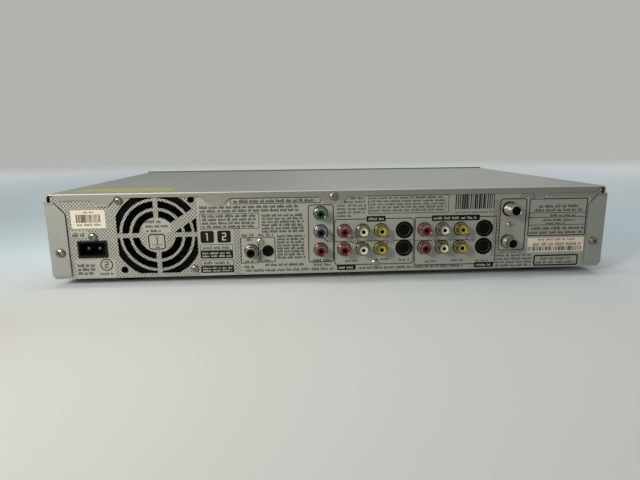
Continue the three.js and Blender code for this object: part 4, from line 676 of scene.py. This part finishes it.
# Where the blocks behind the panel end, and the radius of the seats on them.
BLOCK_FACE = 126.7
SEAT_BACK = 126.5
JACK_SEAT = 5.5
VIDEO_SEAT = 6.2
CONTROL_SEAT = 4.6
JACK_FINISHES = {
    "red": ("red_sleeve", "red_insert"),
    "white": ("bright_nickel", "white_insert"),
    "yellow": ("yellow_sleeve", "yellow_insert"),
    "blue": ("grey_sleeve", "blue_insert"),
    "green": ("green_sleeve", "green_insert"),
    "black": ("bright_nickel", "jack_plastic"),
}
SLEEVE = (
    (3.05, 126.8), (4.95, 126.8), (4.95, 128.8), (4.85, 129.15), (4.6, 129.3), (4, 129.3), (3.7, 129.4),
    (3.7, 129.95), (4, 130.05), (4.15, 130.25), (4.15, 135.4), (4.05, 135.75), (3.85, 135.98), (3.3, 135.98),
    (3.12, 135.85), (3.05, 135.6),
)
INSERT = (
    (0, 126.9), (3, 126.9), (3, 134.7), (2.85, 134.95), (1.95, 134.95), (1.68, 134.85), (1.5, 134.5), (1.5, 127.6),
    (0, 127.6),
)
# A black cup lining each insert's pin hole, a painted shade for the inside of the hole.
PIN_HOLE_SHADE = ((0, 127.7), (1.48, 127.7), (1.48, 134.2), (1.1, 134.2), (1.1, 128.4), (0, 128.4))


def housing(group, openings):
    """The block behind the panel that carries a group of jacks, with a raised seat for each."""
    node = f"{group}_jack_block"
    form = Form()
    form.prism(rounded(*span(node, "X"), *span(node, "Z"), 0.8), span(node, "Y")[0], BLOCK_FACE)
    for x, z, radius in openings:
        seat = ((0, SEAT_BACK), (radius, SEAT_BACK), (radius, 127.2), (radius - 0.2, 127.4), (0, 127.4))
        form.turned(seat, x, z, 36)
    form.piece(f"{group}_housing", "jack_plastic", replaces=node)


def round_jacks(group, spots, colour):
    """The metal sleeves and coloured inserts of jacks of one colour, and black cups in their pin holes that are a
    painted shade for the inside of the holes.
    """
    sleeve, insert = JACK_FINISHES[colour]
    layers = (
        ("sleeves", SLEEVE, 48, sleeve, "nickel_can"),
        ("inserts", INSERT, 40, insert, "jack_plastic"),
        ("hole_shades", PIN_HOLE_SHADE, 24, "hole_black", "jack_plastic"),
    )
    for layer, profile, sides, material, slot in layers:
        form = Form()
        for x, z in spots:
            form.turned(profile, x, z, sides)
        form.piece(f"{group}_{layer}_{colour}", material, slot)


VIDEO_SHELL = (
    (0, 123.6), (6.1, 123.6), (6.1, 128.01), (6.6, 128.02), (6.6, 128.4), (6.45, 128.58), (6.2, 128.62), (5, 128.62),
    (4.9, 128.5), (4.9, 124.6), (3.5, 124.6), (3.5, 127.55), (3.3, 127.75), (0, 127.75),
)
VIDEO_RING = ((4.45, 124.4), (4.8, 124.4), (4.8, 128.2), (4.62, 128.3), (4.45, 128.2))
VIDEO_HOLE_SHADE = ((0, 127.7), (0.42, 127.7), (0.42, 127.79), (0, 127.79))
VIDEO_PIN_PLACES = ((-1.6, 0.7), (1.6, 0.7), (-1, -1.2), (1, -1.2))


def video_sockets(group, x):
    """The two round sockets, one in each row, with black discs at the four pins and the key that are a painted shade
    for their holes.
    """
    shells = Form()
    rings = Form()
    holes = Form()
    for z in ROWS:
        shells.turned(VIDEO_SHELL, x, z, 56)
        rings.turned(VIDEO_RING, x, z, 56)
        for aside, up in VIDEO_PIN_PLACES:
            holes.turned(VIDEO_HOLE_SHADE, x + aside, z + up, 14)
        holes.box(x - 0.8, x + 0.8, 127.7, 127.79, z + 1.9, z + 2.6)
    shells.piece(f"{group}_video_shells", "jack_plastic")
    # The shields are in a darker metal, a painted shade for the inside of the sockets.
    rings.piece(f"{group}_video_shields", "shaded_pin_metal", "nickel_can")
    # The black discs are a painted shade for the pin and key holes.
    holes.piece(f"{group}_video_holes", "hole_black", "jack_plastic")


def make_jacks():
    for group, places, video in (("output", OUTPUT_X, OUTPUT_VIDEO_X), ("input", INPUT_X, INPUT_VIDEO_X)):
        seats = [(x, z, JACK_SEAT) for x in places for z in ROWS] + [(video, z, VIDEO_SEAT) for z in ROWS]
        housing(group, seats)
        for x, colour in zip(places, ("red", "white", "yellow")):
            round_jacks(group, [(x, z) for z in ROWS], colour)
        video_sockets(group, video)
    housing("component", [(COMPONENT_X, z, JACK_SEAT) for z in (*ROWS, TOP_ROW)])
    for z, colour in zip((*ROWS, TOP_ROW), ("red", "blue", "green")):
        round_jacks("component", [(COMPONENT_X, z)], colour)


CONTROL_JACK = (
    (0, 120), (4.2, 120), (4.2, 128.9), (4.05, 129.15), (3.8, 129.2), (2.3, 129.2), (1.95, 129.05), (1.8, 128.7),
    (1.8, 120.4), (0, 120.4),
)


def make_digital_jacks():
    housing("digital", [(DIGITAL_X, ROWS[0], JACK_SEAT), (CONTROL_X, ROWS[0], CONTROL_SEAT)])
    round_jacks("digital", [(DIGITAL_X, ROWS[0])], "black")
    turned_piece("control_jack", CONTROL_JACK, CONTROL_X, ROWS[0], 44, "jack_plastic")


# The aerial connectors. Wide is the threads' radius, seat is the outer radius of a thin black ring at the barrel's
# foot that is a painted shadow in the panel's hole round the barrel, and plain is where the barrel without threads
# starts and ends.
AERIALS = {
    "low": dict(z=27.3, wide=4.35, threads=4, end=137.9, seat=5, plain=(133.6, 136.4)),
    "high": dict(z=52.6, wide=4.74, threads=9, end=139.98, seat=5.75, plain=()),
}
THREAD_START = 129.2
THREAD_PITCH = 1.05
THREAD_DEEP = 0.54
# The black core of an aerial connector, as (radius, depth from its end).
AERIAL_CORE = (
    (0, 2.58), (3.26, 2.58), (3.26, 1.28), (3.1, 1.13), (0.75, 1.13), (0.55, 1.28), (0.55, 2.08), (0, 2.08),
)
TUNER_CAN = (-148.1, -127.6)
TUNER_SEAM = (-148.3, -148.1, 84, 122, 17, 58)
EMBOSS = ((4.5, 127.9), (5.3, 127.9), (5.3, 128.2), (5.05, 128.6), (4.75, 128.6), (4.5, 128.2))
EMBOSS_PLACE = (-135.6, 40.4)


def barrel_profile(wide, threads, end, plain):
    """A threaded barrel with a rounded rim, hollow at its end."""
    deep = wide - THREAD_DEEP
    profile = [(0, SEAT_BACK), (4.7, SEAT_BACK), (4.7, 128.6), (deep, 128.9)]
    for thread in range(threads):
        foot = THREAD_START + thread * THREAD_PITCH
        profile += [(deep, foot), (wide, foot + 0.35), (wide, foot + 0.55), (deep, foot + 0.9)]
    profile += [(deep, place) for place in plain]
    rim = deep if plain else wide - 0.04
    profile += [(rim, end - 0.78), (rim - 0.25, end - 0.23), (rim - 0.6, end), (3.6, end), (3.35, end - 0.18)]
    return profile + [(3.3, end - 0.58), (3.3, end - 2.38), (0, end - 2.38)]


def make_aerials():
    can = Form()
    outline = rounded(*TUNER_CAN, *span("tuner_block", "Z"), 0.6)
    can.prism(outline, span("tuner_block", "Y")[0], BLOCK_FACE)
    can.box(*TUNER_SEAM)
    can.piece("tuner_can", "nickel_can", replaces="tuner_block")
    for name, size in AERIALS.items():
        z, end, ring = size["z"], size["end"], size["seat"]
        barrel = barrel_profile(size["wide"], size["threads"], end, size["plain"])
        seat = ((4.75, 127.9), (ring, 127.9), (ring, 128.06), (4.75, 128.06))
        core = [(radius, end - depth) for radius, depth in AERIAL_CORE]
        turned_piece(f"aerial_barrel_{name}", barrel, AERIAL_X, z, 56, "nickel_can", smooth_angle=24)
        # A thin black ring round the barrel's foot, a painted shadow in the panel's hole there.
        turned_piece(f"aerial_shadow_ring_{name}", seat, AERIAL_X, z, 48, "hole_black", "black_plastic")
        turned_piece(f"aerial_core_{name}", core, AERIAL_X, z, 40, "hole_black", "black_plastic")
    turned_piece("aerial_emboss", EMBOSS, *EMBOSS_PLACE, 56, "lip_paint", "panel_paint")


INLET = (179.6, 28.3)
INLET_PIN = ((0, 113), (1.32, 113), (1.32, 124.6), (1.15, 125.1), (0.8, 125.4), (0, 125.5))
PIN_ASIDE = 4.05


def make_inlet():
    x, z = INLET
    pins = Form()
    for side in (-1, 1):
        pins.turned(INLET_PIN, x + side * PIN_ASIDE, z, 24)
    # The inlet's pins are in a darker metal, a painted shade for the inside of the inlet.
    pins.piece("inlet_pins", "shaded_pin_metal", "screw_steel")
    rim = Form()
    rim.prism(
        rounded(x - 10.75, x + 10.75, z - 6.45, z + 6.45, 1), 127.9, 128.75,
        rounded(x - 9.2, x + 9.2, z - 4.95, z + 4.95, 0.6),
    )
    rim.box(x - 8.6, x + 8.6, 128.2, 129.2, z + 5.15, z + 6.3)
    rim.piece("inlet_rim", "black_plastic", bevel=0.2)


# Print on the connector panel. An area is two ends along u and two along v, which run right and up from the panel's
# lower middle, as seen from behind.


def ink_box(form, u0, u1, v0, v1, proud=INK_PROUD):
    form.box(-u1, -u0, PANEL - INK_SUNK, PANEL + proud, v0 + PANEL_LOW, v1 + PANEL_LOW)


def ink_slab(form, u0, u1, v0, v1, corner, line=0, proud=INK_PROUD):
    """A slab with round corners, or a frame drawn with a line of the given width."""
    low = v0 + PANEL_LOW
    high = v1 + PANEL_LOW
    inner = rounded(-u1 + line, -u0 - line, low + line, high - line, max(0.05, corner - line)) if line else None
    form.prism(rounded(-u1, -u0, low, high, corner), PANEL - INK_SUNK, PANEL + proud, inner)


# A mark of small print, in shares of its height, and how often it has a foot. The gap after a group is a share of
# the step from mark to mark.
MARK_WIDE = 0.36
MARK_HEIGHTS = (0.66, 0.72, 0.85, 1)
FOOT_OFTEN = 0.4
FOOT_HIGH = 0.16
GROUP_GAP = 1.2


def small_print(form, chance, area, lines=1, proud=INK_PROUD, fill=0.68, ragged=0.06, widest=0.55, pace=1.78):
    """Rows of short upright marks in groups, which stand for lines of small print without saying anything. The marks
    fill a share of each line's height, and pace is the step from mark to mark as a share of a mark's width."""
    u0, u1, v0, v1 = area
    pitch = (v1 - v0) / lines
    tall = pitch * fill
    wide = min(widest, tall * MARK_WIDE)
    step = wide * pace
    for line in range(lines):
        base = v1 - (line + 1) * pitch + (pitch - tall) / 2
        end = u1 - (u1 - u0) * ragged * chance.random()
        place = u0
        while place + wide < end:
            for _ in range(chance.randint(3, 8)):
                if place + wide >= end:
                    break
                height = tall * chance.choice(MARK_HEIGHTS)
                ink_box(form, place, place + wide, base, base + height, proud)
                if chance.random() < FOOT_OFTEN:
                    ink_box(form, place + wide, place + step, base, base + tall * FOOT_HIGH, proud)
                place += step
            place += step * GROUP_GAP


def bars(form, chance, area, count, proud=INK_PROUD):
    """Upright bars at an even pitch that differ only in width."""
    u0, u1, v0, v1 = area
    pitch = (u1 - u0) / count
    for index in range(count):
        wide = pitch * chance.choice((0.35, 0.5, 0.8))
        ink_box(form, u0 + index * pitch, u0 + index * pitch + wide, v0, v1, proud)


# Frames: the area, the corner's radius and the line's width.
FRAMES = (
    (-71, -57.2, 8.7, 28.9, 1.2, 0.6), (-56.4, -44.9, 9.2, 28.9, 1.2, 0.6), (-20, -0.5, 8.2, 52.7, 2.2, 0.7),
    (-0.3, 61, 5.4, 41.4, 3, 0.65), (61.4, 125.4, 3.8, 41.6, 1.2, 0.65), (127, 148.1, 14, 54.7, 2.4, 0.75),
    (149.9, 195.8, 25, 54.3, 0.8, 0.75), (-77.2, -10.2, 53.9, 58.4, 1, 0.5), (-100.2, -56.4, 35.5, 47.3, 0.4, 0.42),
    (25.6, 87.2, 44.9, 58.6, 0.4, 0.42), (-138.8, -126.2, 21, 33, 2.2, 0.9), (-175.4, -166, 5.6, 15, 4.7, 0.8),
    (156.3, 192.3, 1, 10, 1.5, 1.2), (-101.1, -76.8, 19.4, 24, 0.3, 0.4), (-101.3, -76.5, 7.6, 12.2, 0.3, 0.4),
)
RULES = (
    (0.2, 60.5, 23.85, 24.35), (61.9, 108, 23.15, 23.65), (150.1, 195.6, 33.4, 33.85), (150.1, 195.6, 39.4, 39.85),
    (150.1, 195.6, 42.9, 43.35), (-133.8, -130.4, 31, 31.35), (-136.1, -128.4, 24.6, 24.95),
)
# Plain numbers: each with its middle along u and v and its height.
NUMBERS = ((1, -132.2, 27.6, 4.8), (2, -170.7, 10.3, 5))
# Blocks of small print: the area, and the number of lines if it isn't 1. Those left of BOLDER_END are bolder.
BOLDER_END = -10
BOLDER_TYPE = dict(fill=0.82, pace=1.5)
BOLD_TYPE = dict(fill=0.9, ragged=0.02, widest=0.62)
TAG_TYPE = dict(proud=INK_PROUD * 2, fill=0.62, ragged=0.04)
PRINT_BLOCKS = (
    (-99.9, -24.9, 47.9, 53.4, 2), (-98.6, -58, 36.2, 46.8, 4), (-54.5, -22.4, 31.9, 46.5, 6),
    (-43.4, -21.9, 11.6, 30.6, 8), (-75, -12, 54.6, 57.7), (-68, 0, 1.6, 4.8), (-53, -22, 6, 8.6),
    (-68.8, -60.5, 4.9, 7.2), (11.6, 24.2, 55.7, 58.3), (7.4, 24.4, 53.1, 55.7), (2, 24.6, 45.1, 53, 3),
    (2, 12.8, 42.5, 45.1), (27, 86, 46.2, 58, 5), (19, 104, 1.6, 4.4), (167, 188.6, 39.8, 42.4),
    (161.5, 187.8, 36.2, 38.8), (163.9, 180.6, 33.9, 36), (126, 155.4, 0.9, 11.6, 4),
    (-191.9, -178.7, 2.6, 11.8, 3), (128, 146, 11.8, 13.6), (92.6, 123, 43.9, 45.6), (8, 18, 7.6, 10.2),
    (31, 42, 8.6, 10.8), (50, 58, 7.6, 10), (70, 80, 5.8, 8.2), (90, 100, 6.2, 8.6),
    (110, 121, 5.6, 8), (-68, -61, 9.4, 11.2), (-53.5, -48, 10, 11.6), (162, 186.4, 5.6, 8.3),
    (158.4, 190.2, 2.6, 5.4), (-140, -122.7, 37.6, 39.8), (-140, -128.5, 34.2, 36.4),
    (-133.8, -130.4, 22.2, 24),
)
BOLD_BLOCKS = (
    (157.7, 188.6, 47, 49.5), (154.3, 191.8, 44.1, 46.4), (152.6, 194.2, 29.9, 32.4),
    (151.4, 193.4, 26.7, 29.1), (-193.2, -183, 31.8, 35.2), (-69.8, -60.2, 29.3, 31.9),
    (-57.6, -46.2, 29.3, 31.9), (-66.6, -62.2, 26, 28.2), (-16.7, -2.8, 8.9, 11.2), (-15.9, -2, 5.4, 7.7),
    (-140.8, -127.7, 41, 43.8), (-176, -165.2, 2.4, 4.6),
)
# Lines in the frames over the two double tags.
CAPTIONS = ((-99, -79, 20, 23.4), (-99, -79, 8.2, 11.6))
BAR_BLOCK = (92.2, 123.4, 47.2, 58.6)
# Dark tags with lines of pale print, and the margins of that print.
TAGS = (
    (24.3, 38.9, 38.9, 43.2), (1.8, 16.2, 1.6, 5.7), (74.4, 111.7, 38.4, 42.8), (109.1, 124.3, 1.1, 5.3),
    (-101.1, -76.8, 13.2, 19.2, 2), (-101.3, -76.5, 2, 7.4, 2),
)
TAG_MARGINS = (1.4, -1.2, 0.7, -0.7)
TAG_CORNER = 0.7
# Dark tags with a pale number.
NUMBER_TAGS = ((-100.4, -90.4, 25.2, 34.4, 1), (-87.9, -77.9, 25.2, 34.4, 2))
NUMBER_TAG_CORNER = 1.4
NUMBER_TAG_HEIGHT = 5.8
# A number's half width and its strokes' width as shares of its height. A 1 has a shorter flag.
DIGIT_REACH = 0.26
DIGIT_STROKE = 0.14
FLAG_SHARE = 0.8


def digit(form, number, u, v, tall, proud):
    """A plain 1 or 2 drawn in straight strokes about the middle place u, v."""
    half = tall / 2
    reach = tall * DIGIT_REACH
    stroke = tall * DIGIT_STROKE
    if number == 1:
        ink_box(form, u - stroke / 2, u + stroke / 2, v - half, v + half, proud)
        ink_box(form, u - reach * FLAG_SHARE, u, v + half - stroke, v + half, proud)
        return
    for height in (-half, -stroke / 2, half - stroke):
        ink_box(form, u - reach, u + reach, v + height, v + height + stroke, proud)
    ink_box(form, u + reach - stroke, u + reach, v, v + half - stroke, proud)
    ink_box(form, u - reach, u - reach + stroke, v - half + stroke, v - stroke / 2, proud)


def make_print():
    """The panel's print in one dark piece, its dark tags, and the pale marks on those."""
    chance = random.Random(11)
    lines = Form()
    for row in FRAMES:
        ink_slab(lines, *row)
    for area in RULES:
        ink_box(lines, *area)
    for number, u, v, tall in NUMBERS:
        digit(lines, number, u, v, tall, INK_PROUD)
    for block in PRINT_BLOCKS:
        type_used = BOLDER_TYPE if block[1] < BOLDER_END else {}
        small_print(lines, chance, block[:4], *block[4:], **type_used)
    for block in BOLD_BLOCKS:
        small_print(lines, chance, block, **BOLD_TYPE)
    for block in CAPTIONS:
        small_print(lines, chance, block)
    bars(lines, chance, BAR_BLOCK, 19)
    lines.piece("panel_print", "dark_ink", "panel_paint")
    tags = Form()
    for block in TAGS:
        ink_slab(tags, *block[:4], TAG_CORNER)
    for block in NUMBER_TAGS:
        ink_slab(tags, *block[:4], NUMBER_TAG_CORNER)
    tags.piece("panel_tags", "tag_ink", "panel_paint")
    light = Form()
    for block in TAGS:
        inside = [end + margin for end, margin in zip(block, TAG_MARGINS)]
        small_print(light, chance, inside, *block[4:], **TAG_TYPE)
    for u0, u1, v0, v1, number in NUMBER_TAGS:
        digit(light, number, (u0 + u1) / 2, (v0 + v1) / 2, NUMBER_TAG_HEIGHT, INK_PROUD * 2)
    light.piece("panel_tag_marks", "light_ink", "panel_paint")


# Papers on the panel: the piece, its area, its corner's radius and its finish.
PAPERS = (
    ("sticker_paper", (-192.9, -168.4, 38.1, 51.7), 0.9, "label_paper"),
    ("wide_sticker_paper", (150.7, 195.8, 12.4, 23.6), 0.5, "plate_paper"),
)
# How far paper and ink stand out, and the cover label's ends along X and Y.
PAPER_PROUD = 0.1
PAPER_INK = 0.13
COVER_LABEL = (123.6, 197, 91, 113.6)
LABEL_SUNK = 0.02
LABEL_PROUD = 0.08


def make_stickers():
    """Papers on the panel with plain bars and marks, and the yellow label on the cover."""
    chance = random.Random(5)
    for name, area, corner, material in PAPERS:
        paper = Form()
        ink_slab(paper, *area, corner, proud=PAPER_PROUD)
        paper.piece(name, material, "panel_paint")
    marks = Form()
    bars(marks, chance, (-189.4, -171.8, 42.3, 48.3), 20, PAPER_INK)
    small_print(marks, chance, (-184, -176.2, 49, 51), 1, PAPER_INK)
    small_print(marks, chance, (-188.8, -171.2, 39.7, 42.1), 1, PAPER_INK, fill=0.7)
    marks.piece("sticker_bars", "brown_ink", "panel_paint")
    wide_marks = Form()
    bars(wide_marks, chance, (151.2, 194.6, 13.2, 16.6), 34, PAPER_INK)
    wide_marks.piece("wide_sticker_bars", "dark_ink", "panel_paint")
    red = Form()
    small_print(red, chance, (155, 193.8, 17.1, 20.2), 1, PAPER_INK, fill=0.9, ragged=0.02, widest=0.6)
    small_print(red, chance, (158.8, 190.4, 21.2, 23.3), 1, PAPER_INK, fill=0.8, ragged=0.02, widest=0.5)
    red.piece("sticker_marks", "red_ink", "panel_paint")
    label = Form()
    label.prism(rounded(*COVER_LABEL, 1.2), COVER_TOP - LABEL_SUNK, COVER_TOP + LABEL_PROUD)
    label.points = [(x, z, y) for x, y, z in label.points]
    label.piece("cover_label", "label_yellow", "cover_paint")


# The signs on the front. Each is drawn in outlines of (x, z) places from the middle of its key.

SIGN_PROUD = 0.04
SIGN_SUNK = 0.05
DISC = 1.3
DISC_TURNS = [2 * pi * step / 24 for step in range(24)]
SIGNS = {
    "open_close": (
        ((1.6, -0.1), (-1.6, -0.1), (0, 1.6)), ((-1.6, -1.1), (1.6, -1.1), (1.6, -0.6), (-1.6, -0.6)),
    ),
    "stop": (((-1.2, -1.2), (1.2, -1.2), (1.2, 1.2), (-1.2, 1.2)),),
    "play": (((-1.2, -1.4), (-1.2, 1.4), (1.3, 0)),),
    "record": ([(DISC * cos(turn), DISC * sin(turn)) for turn in DISC_TURNS],),
}
POWER_RING = (2, 2.5)
POWER_STROKE = (-0.25, 0.25, 0.2, 3.1)


def make_signs():
    for key, outlines in SIGNS.items():
        x, _, z = middle(f"{key}_button")
        form = Form()
        for outline in outlines:
            form.prism([(x + aside, z + up) for aside, up in outline], FRONT - SIGN_PROUD, FRONT + SIGN_SUNK)
        ink = "red_ink" if key == "record" else "dark_ink"
        form.piece(f"{key}_sign", ink, "front_plastic", rides_on=f"{key}_button")
    x, _, z = middle("power_button")
    near, far = FRONT - SIGN_SUNK, FRONT + SIGN_SUNK
    inner, outer = POWER_RING
    left, right, low, high = POWER_STROKE
    ring = Form()
    ring.turned(((inner, near), (outer, near), (outer, far), (inner, far)), x, z, 40)
    ring.box(x + left, x + right, near, far, z + low, z + high)
    ring.piece("power_sign", "dark_ink", "front_plastic", rides_on="power_button")


# Materials on the solids that stay.


def dress_solids():
    """Gives each solid the finish of its slot, or one of its own."""
    named = {part["node"]: part["material_slot"] for part in frame["record"]["subparts"]}
    named.update(fan_frame="fan_black", main_board="fitted_board", power_board="fitted_board")
    for node, made in frame["nodes"].items():
        made.data.materials.clear()
        made.data.materials.append(MATERIALS[named[node]])


# The stage, in metres.


def backdrop_share(tree):
    """1 on a ray from the camera, metal or glass, and 0 on one that carries light to a surface."""
    path = tree.nodes.new("ShaderNodeLightPath")
    seen = path.outputs["Is Camera Ray"]
    for name in ("Is Glossy Ray", "Is Transmission Ray"):
        larger = tree.nodes.new("ShaderNodeMath")
        larger.operation = "MAXIMUM"
        tree.links.new(seen, larger.inputs[0])
        tree.links.new(path.outputs[name], larger.inputs[1])
        seen = larger.outputs[0]
    return seen


def blend_shaders(tree, share, first, second, target):
    blend = tree.nodes.new("ShaderNodeMixShader")
    for source, socket in zip((share, first, second), blend.inputs):
        tree.links.new(source, socket)
    tree.links.new(blend.outputs[0], target)


HORIZON = (178, 179, 174)
FLOOR_REACH = 9.0
ROOM_LIGHT = 0.23
# Where the floor's tone changes: along Y, along X for a painted shade on the side that the key lamp lights most and
# painted light on the other, with the distance, and into the backdrop.
GROUND_END = (0.02, 0.2)
SIDE_SHADE_FADE = (-0.26, 0.24)
CLOSE_FADE = (0.3, 1.9)
FAR_FADE = (0.45, 1.5)


def make_floor():
    """Pale paper that lies under the unit and turns into the backdrop some way off."""
    shader = Shader("floor_paper", 0.75)
    tree = shader.tree
    x, y, _ = shader.axes()
    around = shader.calc("MAXIMUM", shader.calc("ABSOLUTE", x), shader.calc("ABSOLUTE", y))
    close = shader.ranged(around, 1, 0, *CLOSE_FADE)
    front = shader.mix(close, tone(*HORIZON), tone(232, 246, 252))
    # Behind the unit the floor is painted darker on the +X side, where the key lamp falls, and paler on the -X side.
    # This painted shade and painted light even out the lamp's pool of light.
    behind = shader.mix(shader.rising(x, *SIDE_SHADE_FADE), tone(242, 245, 241), tone(193, 192, 187))
    ground = shader.mix(shader.rising(y, *GROUND_END), front, behind)
    patches = shader.ranged(shader.noise(2.2, 2), 0, 1)
    shader.colour(shader.mix(shader.times(patches, 0.2), ground, tone(212, 214, 209)))
    shader.bump(shader.noise(900, 2), 0.02)
    far = shader.rising(shader.length(shader.place), *FAR_FADE)
    glow = shader.node("Emission")
    shader.wire(shader.mix(close, tone(*HORIZON), tone(206, 219, 224)), glow.inputs["Color"])
    share = shader.times(far, backdrop_share(tree))
    target = tree.nodes["Material Output"].inputs["Surface"]
    blend_shaders(tree, share, shader.surface.outputs[0], glow.outputs[0], target)
    mesh = bpy.data.meshes.new("floor")
    reach = FLOOR_REACH
    corners = [(-reach, -reach, 0), (reach, -reach, 0), (reach, reach, 0), (-reach, reach, 0)]
    mesh.from_pydata(corners, [], [(0, 1, 2, 3)])
    mesh.materials.append(shader.material)
    placed("floor", mesh)


def make_world():
    """Even room light, with a pale backdrop where the camera, metal or glass sees past the floor."""
    world = bpy.data.worlds.new("room")
    bpy.context.scene.world = world
    world.use_nodes = True
    tree = world.node_tree
    tree.nodes.clear()
    output = tree.nodes.new("ShaderNodeOutputWorld")
    light, backdrop = (tree.nodes.new("ShaderNodeBackground") for _ in range(2))
    light.inputs["Color"].default_value = tone(240, 245, 250)
    light.inputs["Strength"].default_value = ROOM_LIGHT
    backdrop.inputs["Color"].default_value = tone(*HORIZON)
    blend_shaders(tree, backdrop_share(tree), light.outputs[0], backdrop.outputs[0], output.inputs["Surface"])


def lamp(name, place, target, size, power, colour=(1, 1, 1), spread=180):
    """A soft lamp that points at a target. Its size is the side of a square or both sides of a rectangle."""
    data = bpy.data.lights.new(name, "AREA")
    data.shape = "RECTANGLE"
    data.size, data.size_y = size if isinstance(size, tuple) else (size, size)
    data.energy = power
    data.color = colour
    data.spread = radians(spread)
    made = placed(name, data)
    aim = Vector(target) - Vector(place)
    made.matrix_world = Matrix.Translation(place) @ aim.to_track_quat("-Z", "Y").to_matrix().to_4x4()
    made.visible_camera = False


def make_lights():
    lamp("key_light", (0.42, 0.58, 0.3), (0.13, 0.128, 0.04), 0.18, 0.9, (1, 0.955, 0.87), 90)
    lamp("top_light", (0.1, -0.15, 1.5), (0, 0, 0), 1.3, 3.6, (0.95, 1, 0.985))
    lamp("strip_light", (0, 0.03, 1.5), (0, 0, 0), (1.5, 0.1), 3.3, (0.97, 1, 0.985))
    lamp("front_fill", (-0.4, -1.2, 0.8), (0, -0.1, 0.03), 1, 1.5)


# The camera, from the fit of the panel's edges in the photograph: its place in metres, its angles in radians, and
# its focal length and sensor in millimetres.
CAMERA_PLACE = (0.0302, 0.48216, 0.104985)
TILT = 0.204
PAN = -0.054
ROLL = -0.011
FOCAL = 26.88
SENSOR = 36
CLIP = (0.01, 50)


def make_camera():
    turn = Matrix.Rotation(ROLL, 3, "Z") @ Matrix.Rotation(TILT, 3, "X") @ Matrix.Rotation(PAN, 3, "Y")
    right, down, ahead = (Vector((-row[0], -row[2], -row[1])) for row in turn)
    data = bpy.data.cameras.new("camera")
    data.sensor_fit = "HORIZONTAL"
    data.sensor_width = SENSOR
    data.lens = FOCAL
    data.clip_start, data.clip_end = CLIP
    camera = placed("camera", data)
    axes = Matrix((right, -down, -ahead)).transposed().to_4x4()
    camera.matrix_world = Matrix.Translation(CAMERA_PLACE) @ axes
    bpy.context.scene.camera = camera


make_camera()
dress_solids()
make_case()
make_front_bead()
make_feet()
make_screws()
make_jacks()
make_digital_jacks()
make_aerials()
make_inlet()
make_print()
make_stickers()
make_signs()
make_floor()
make_world()
make_lights()
bpy.context.scene.view_settings.view_transform = "Standard"
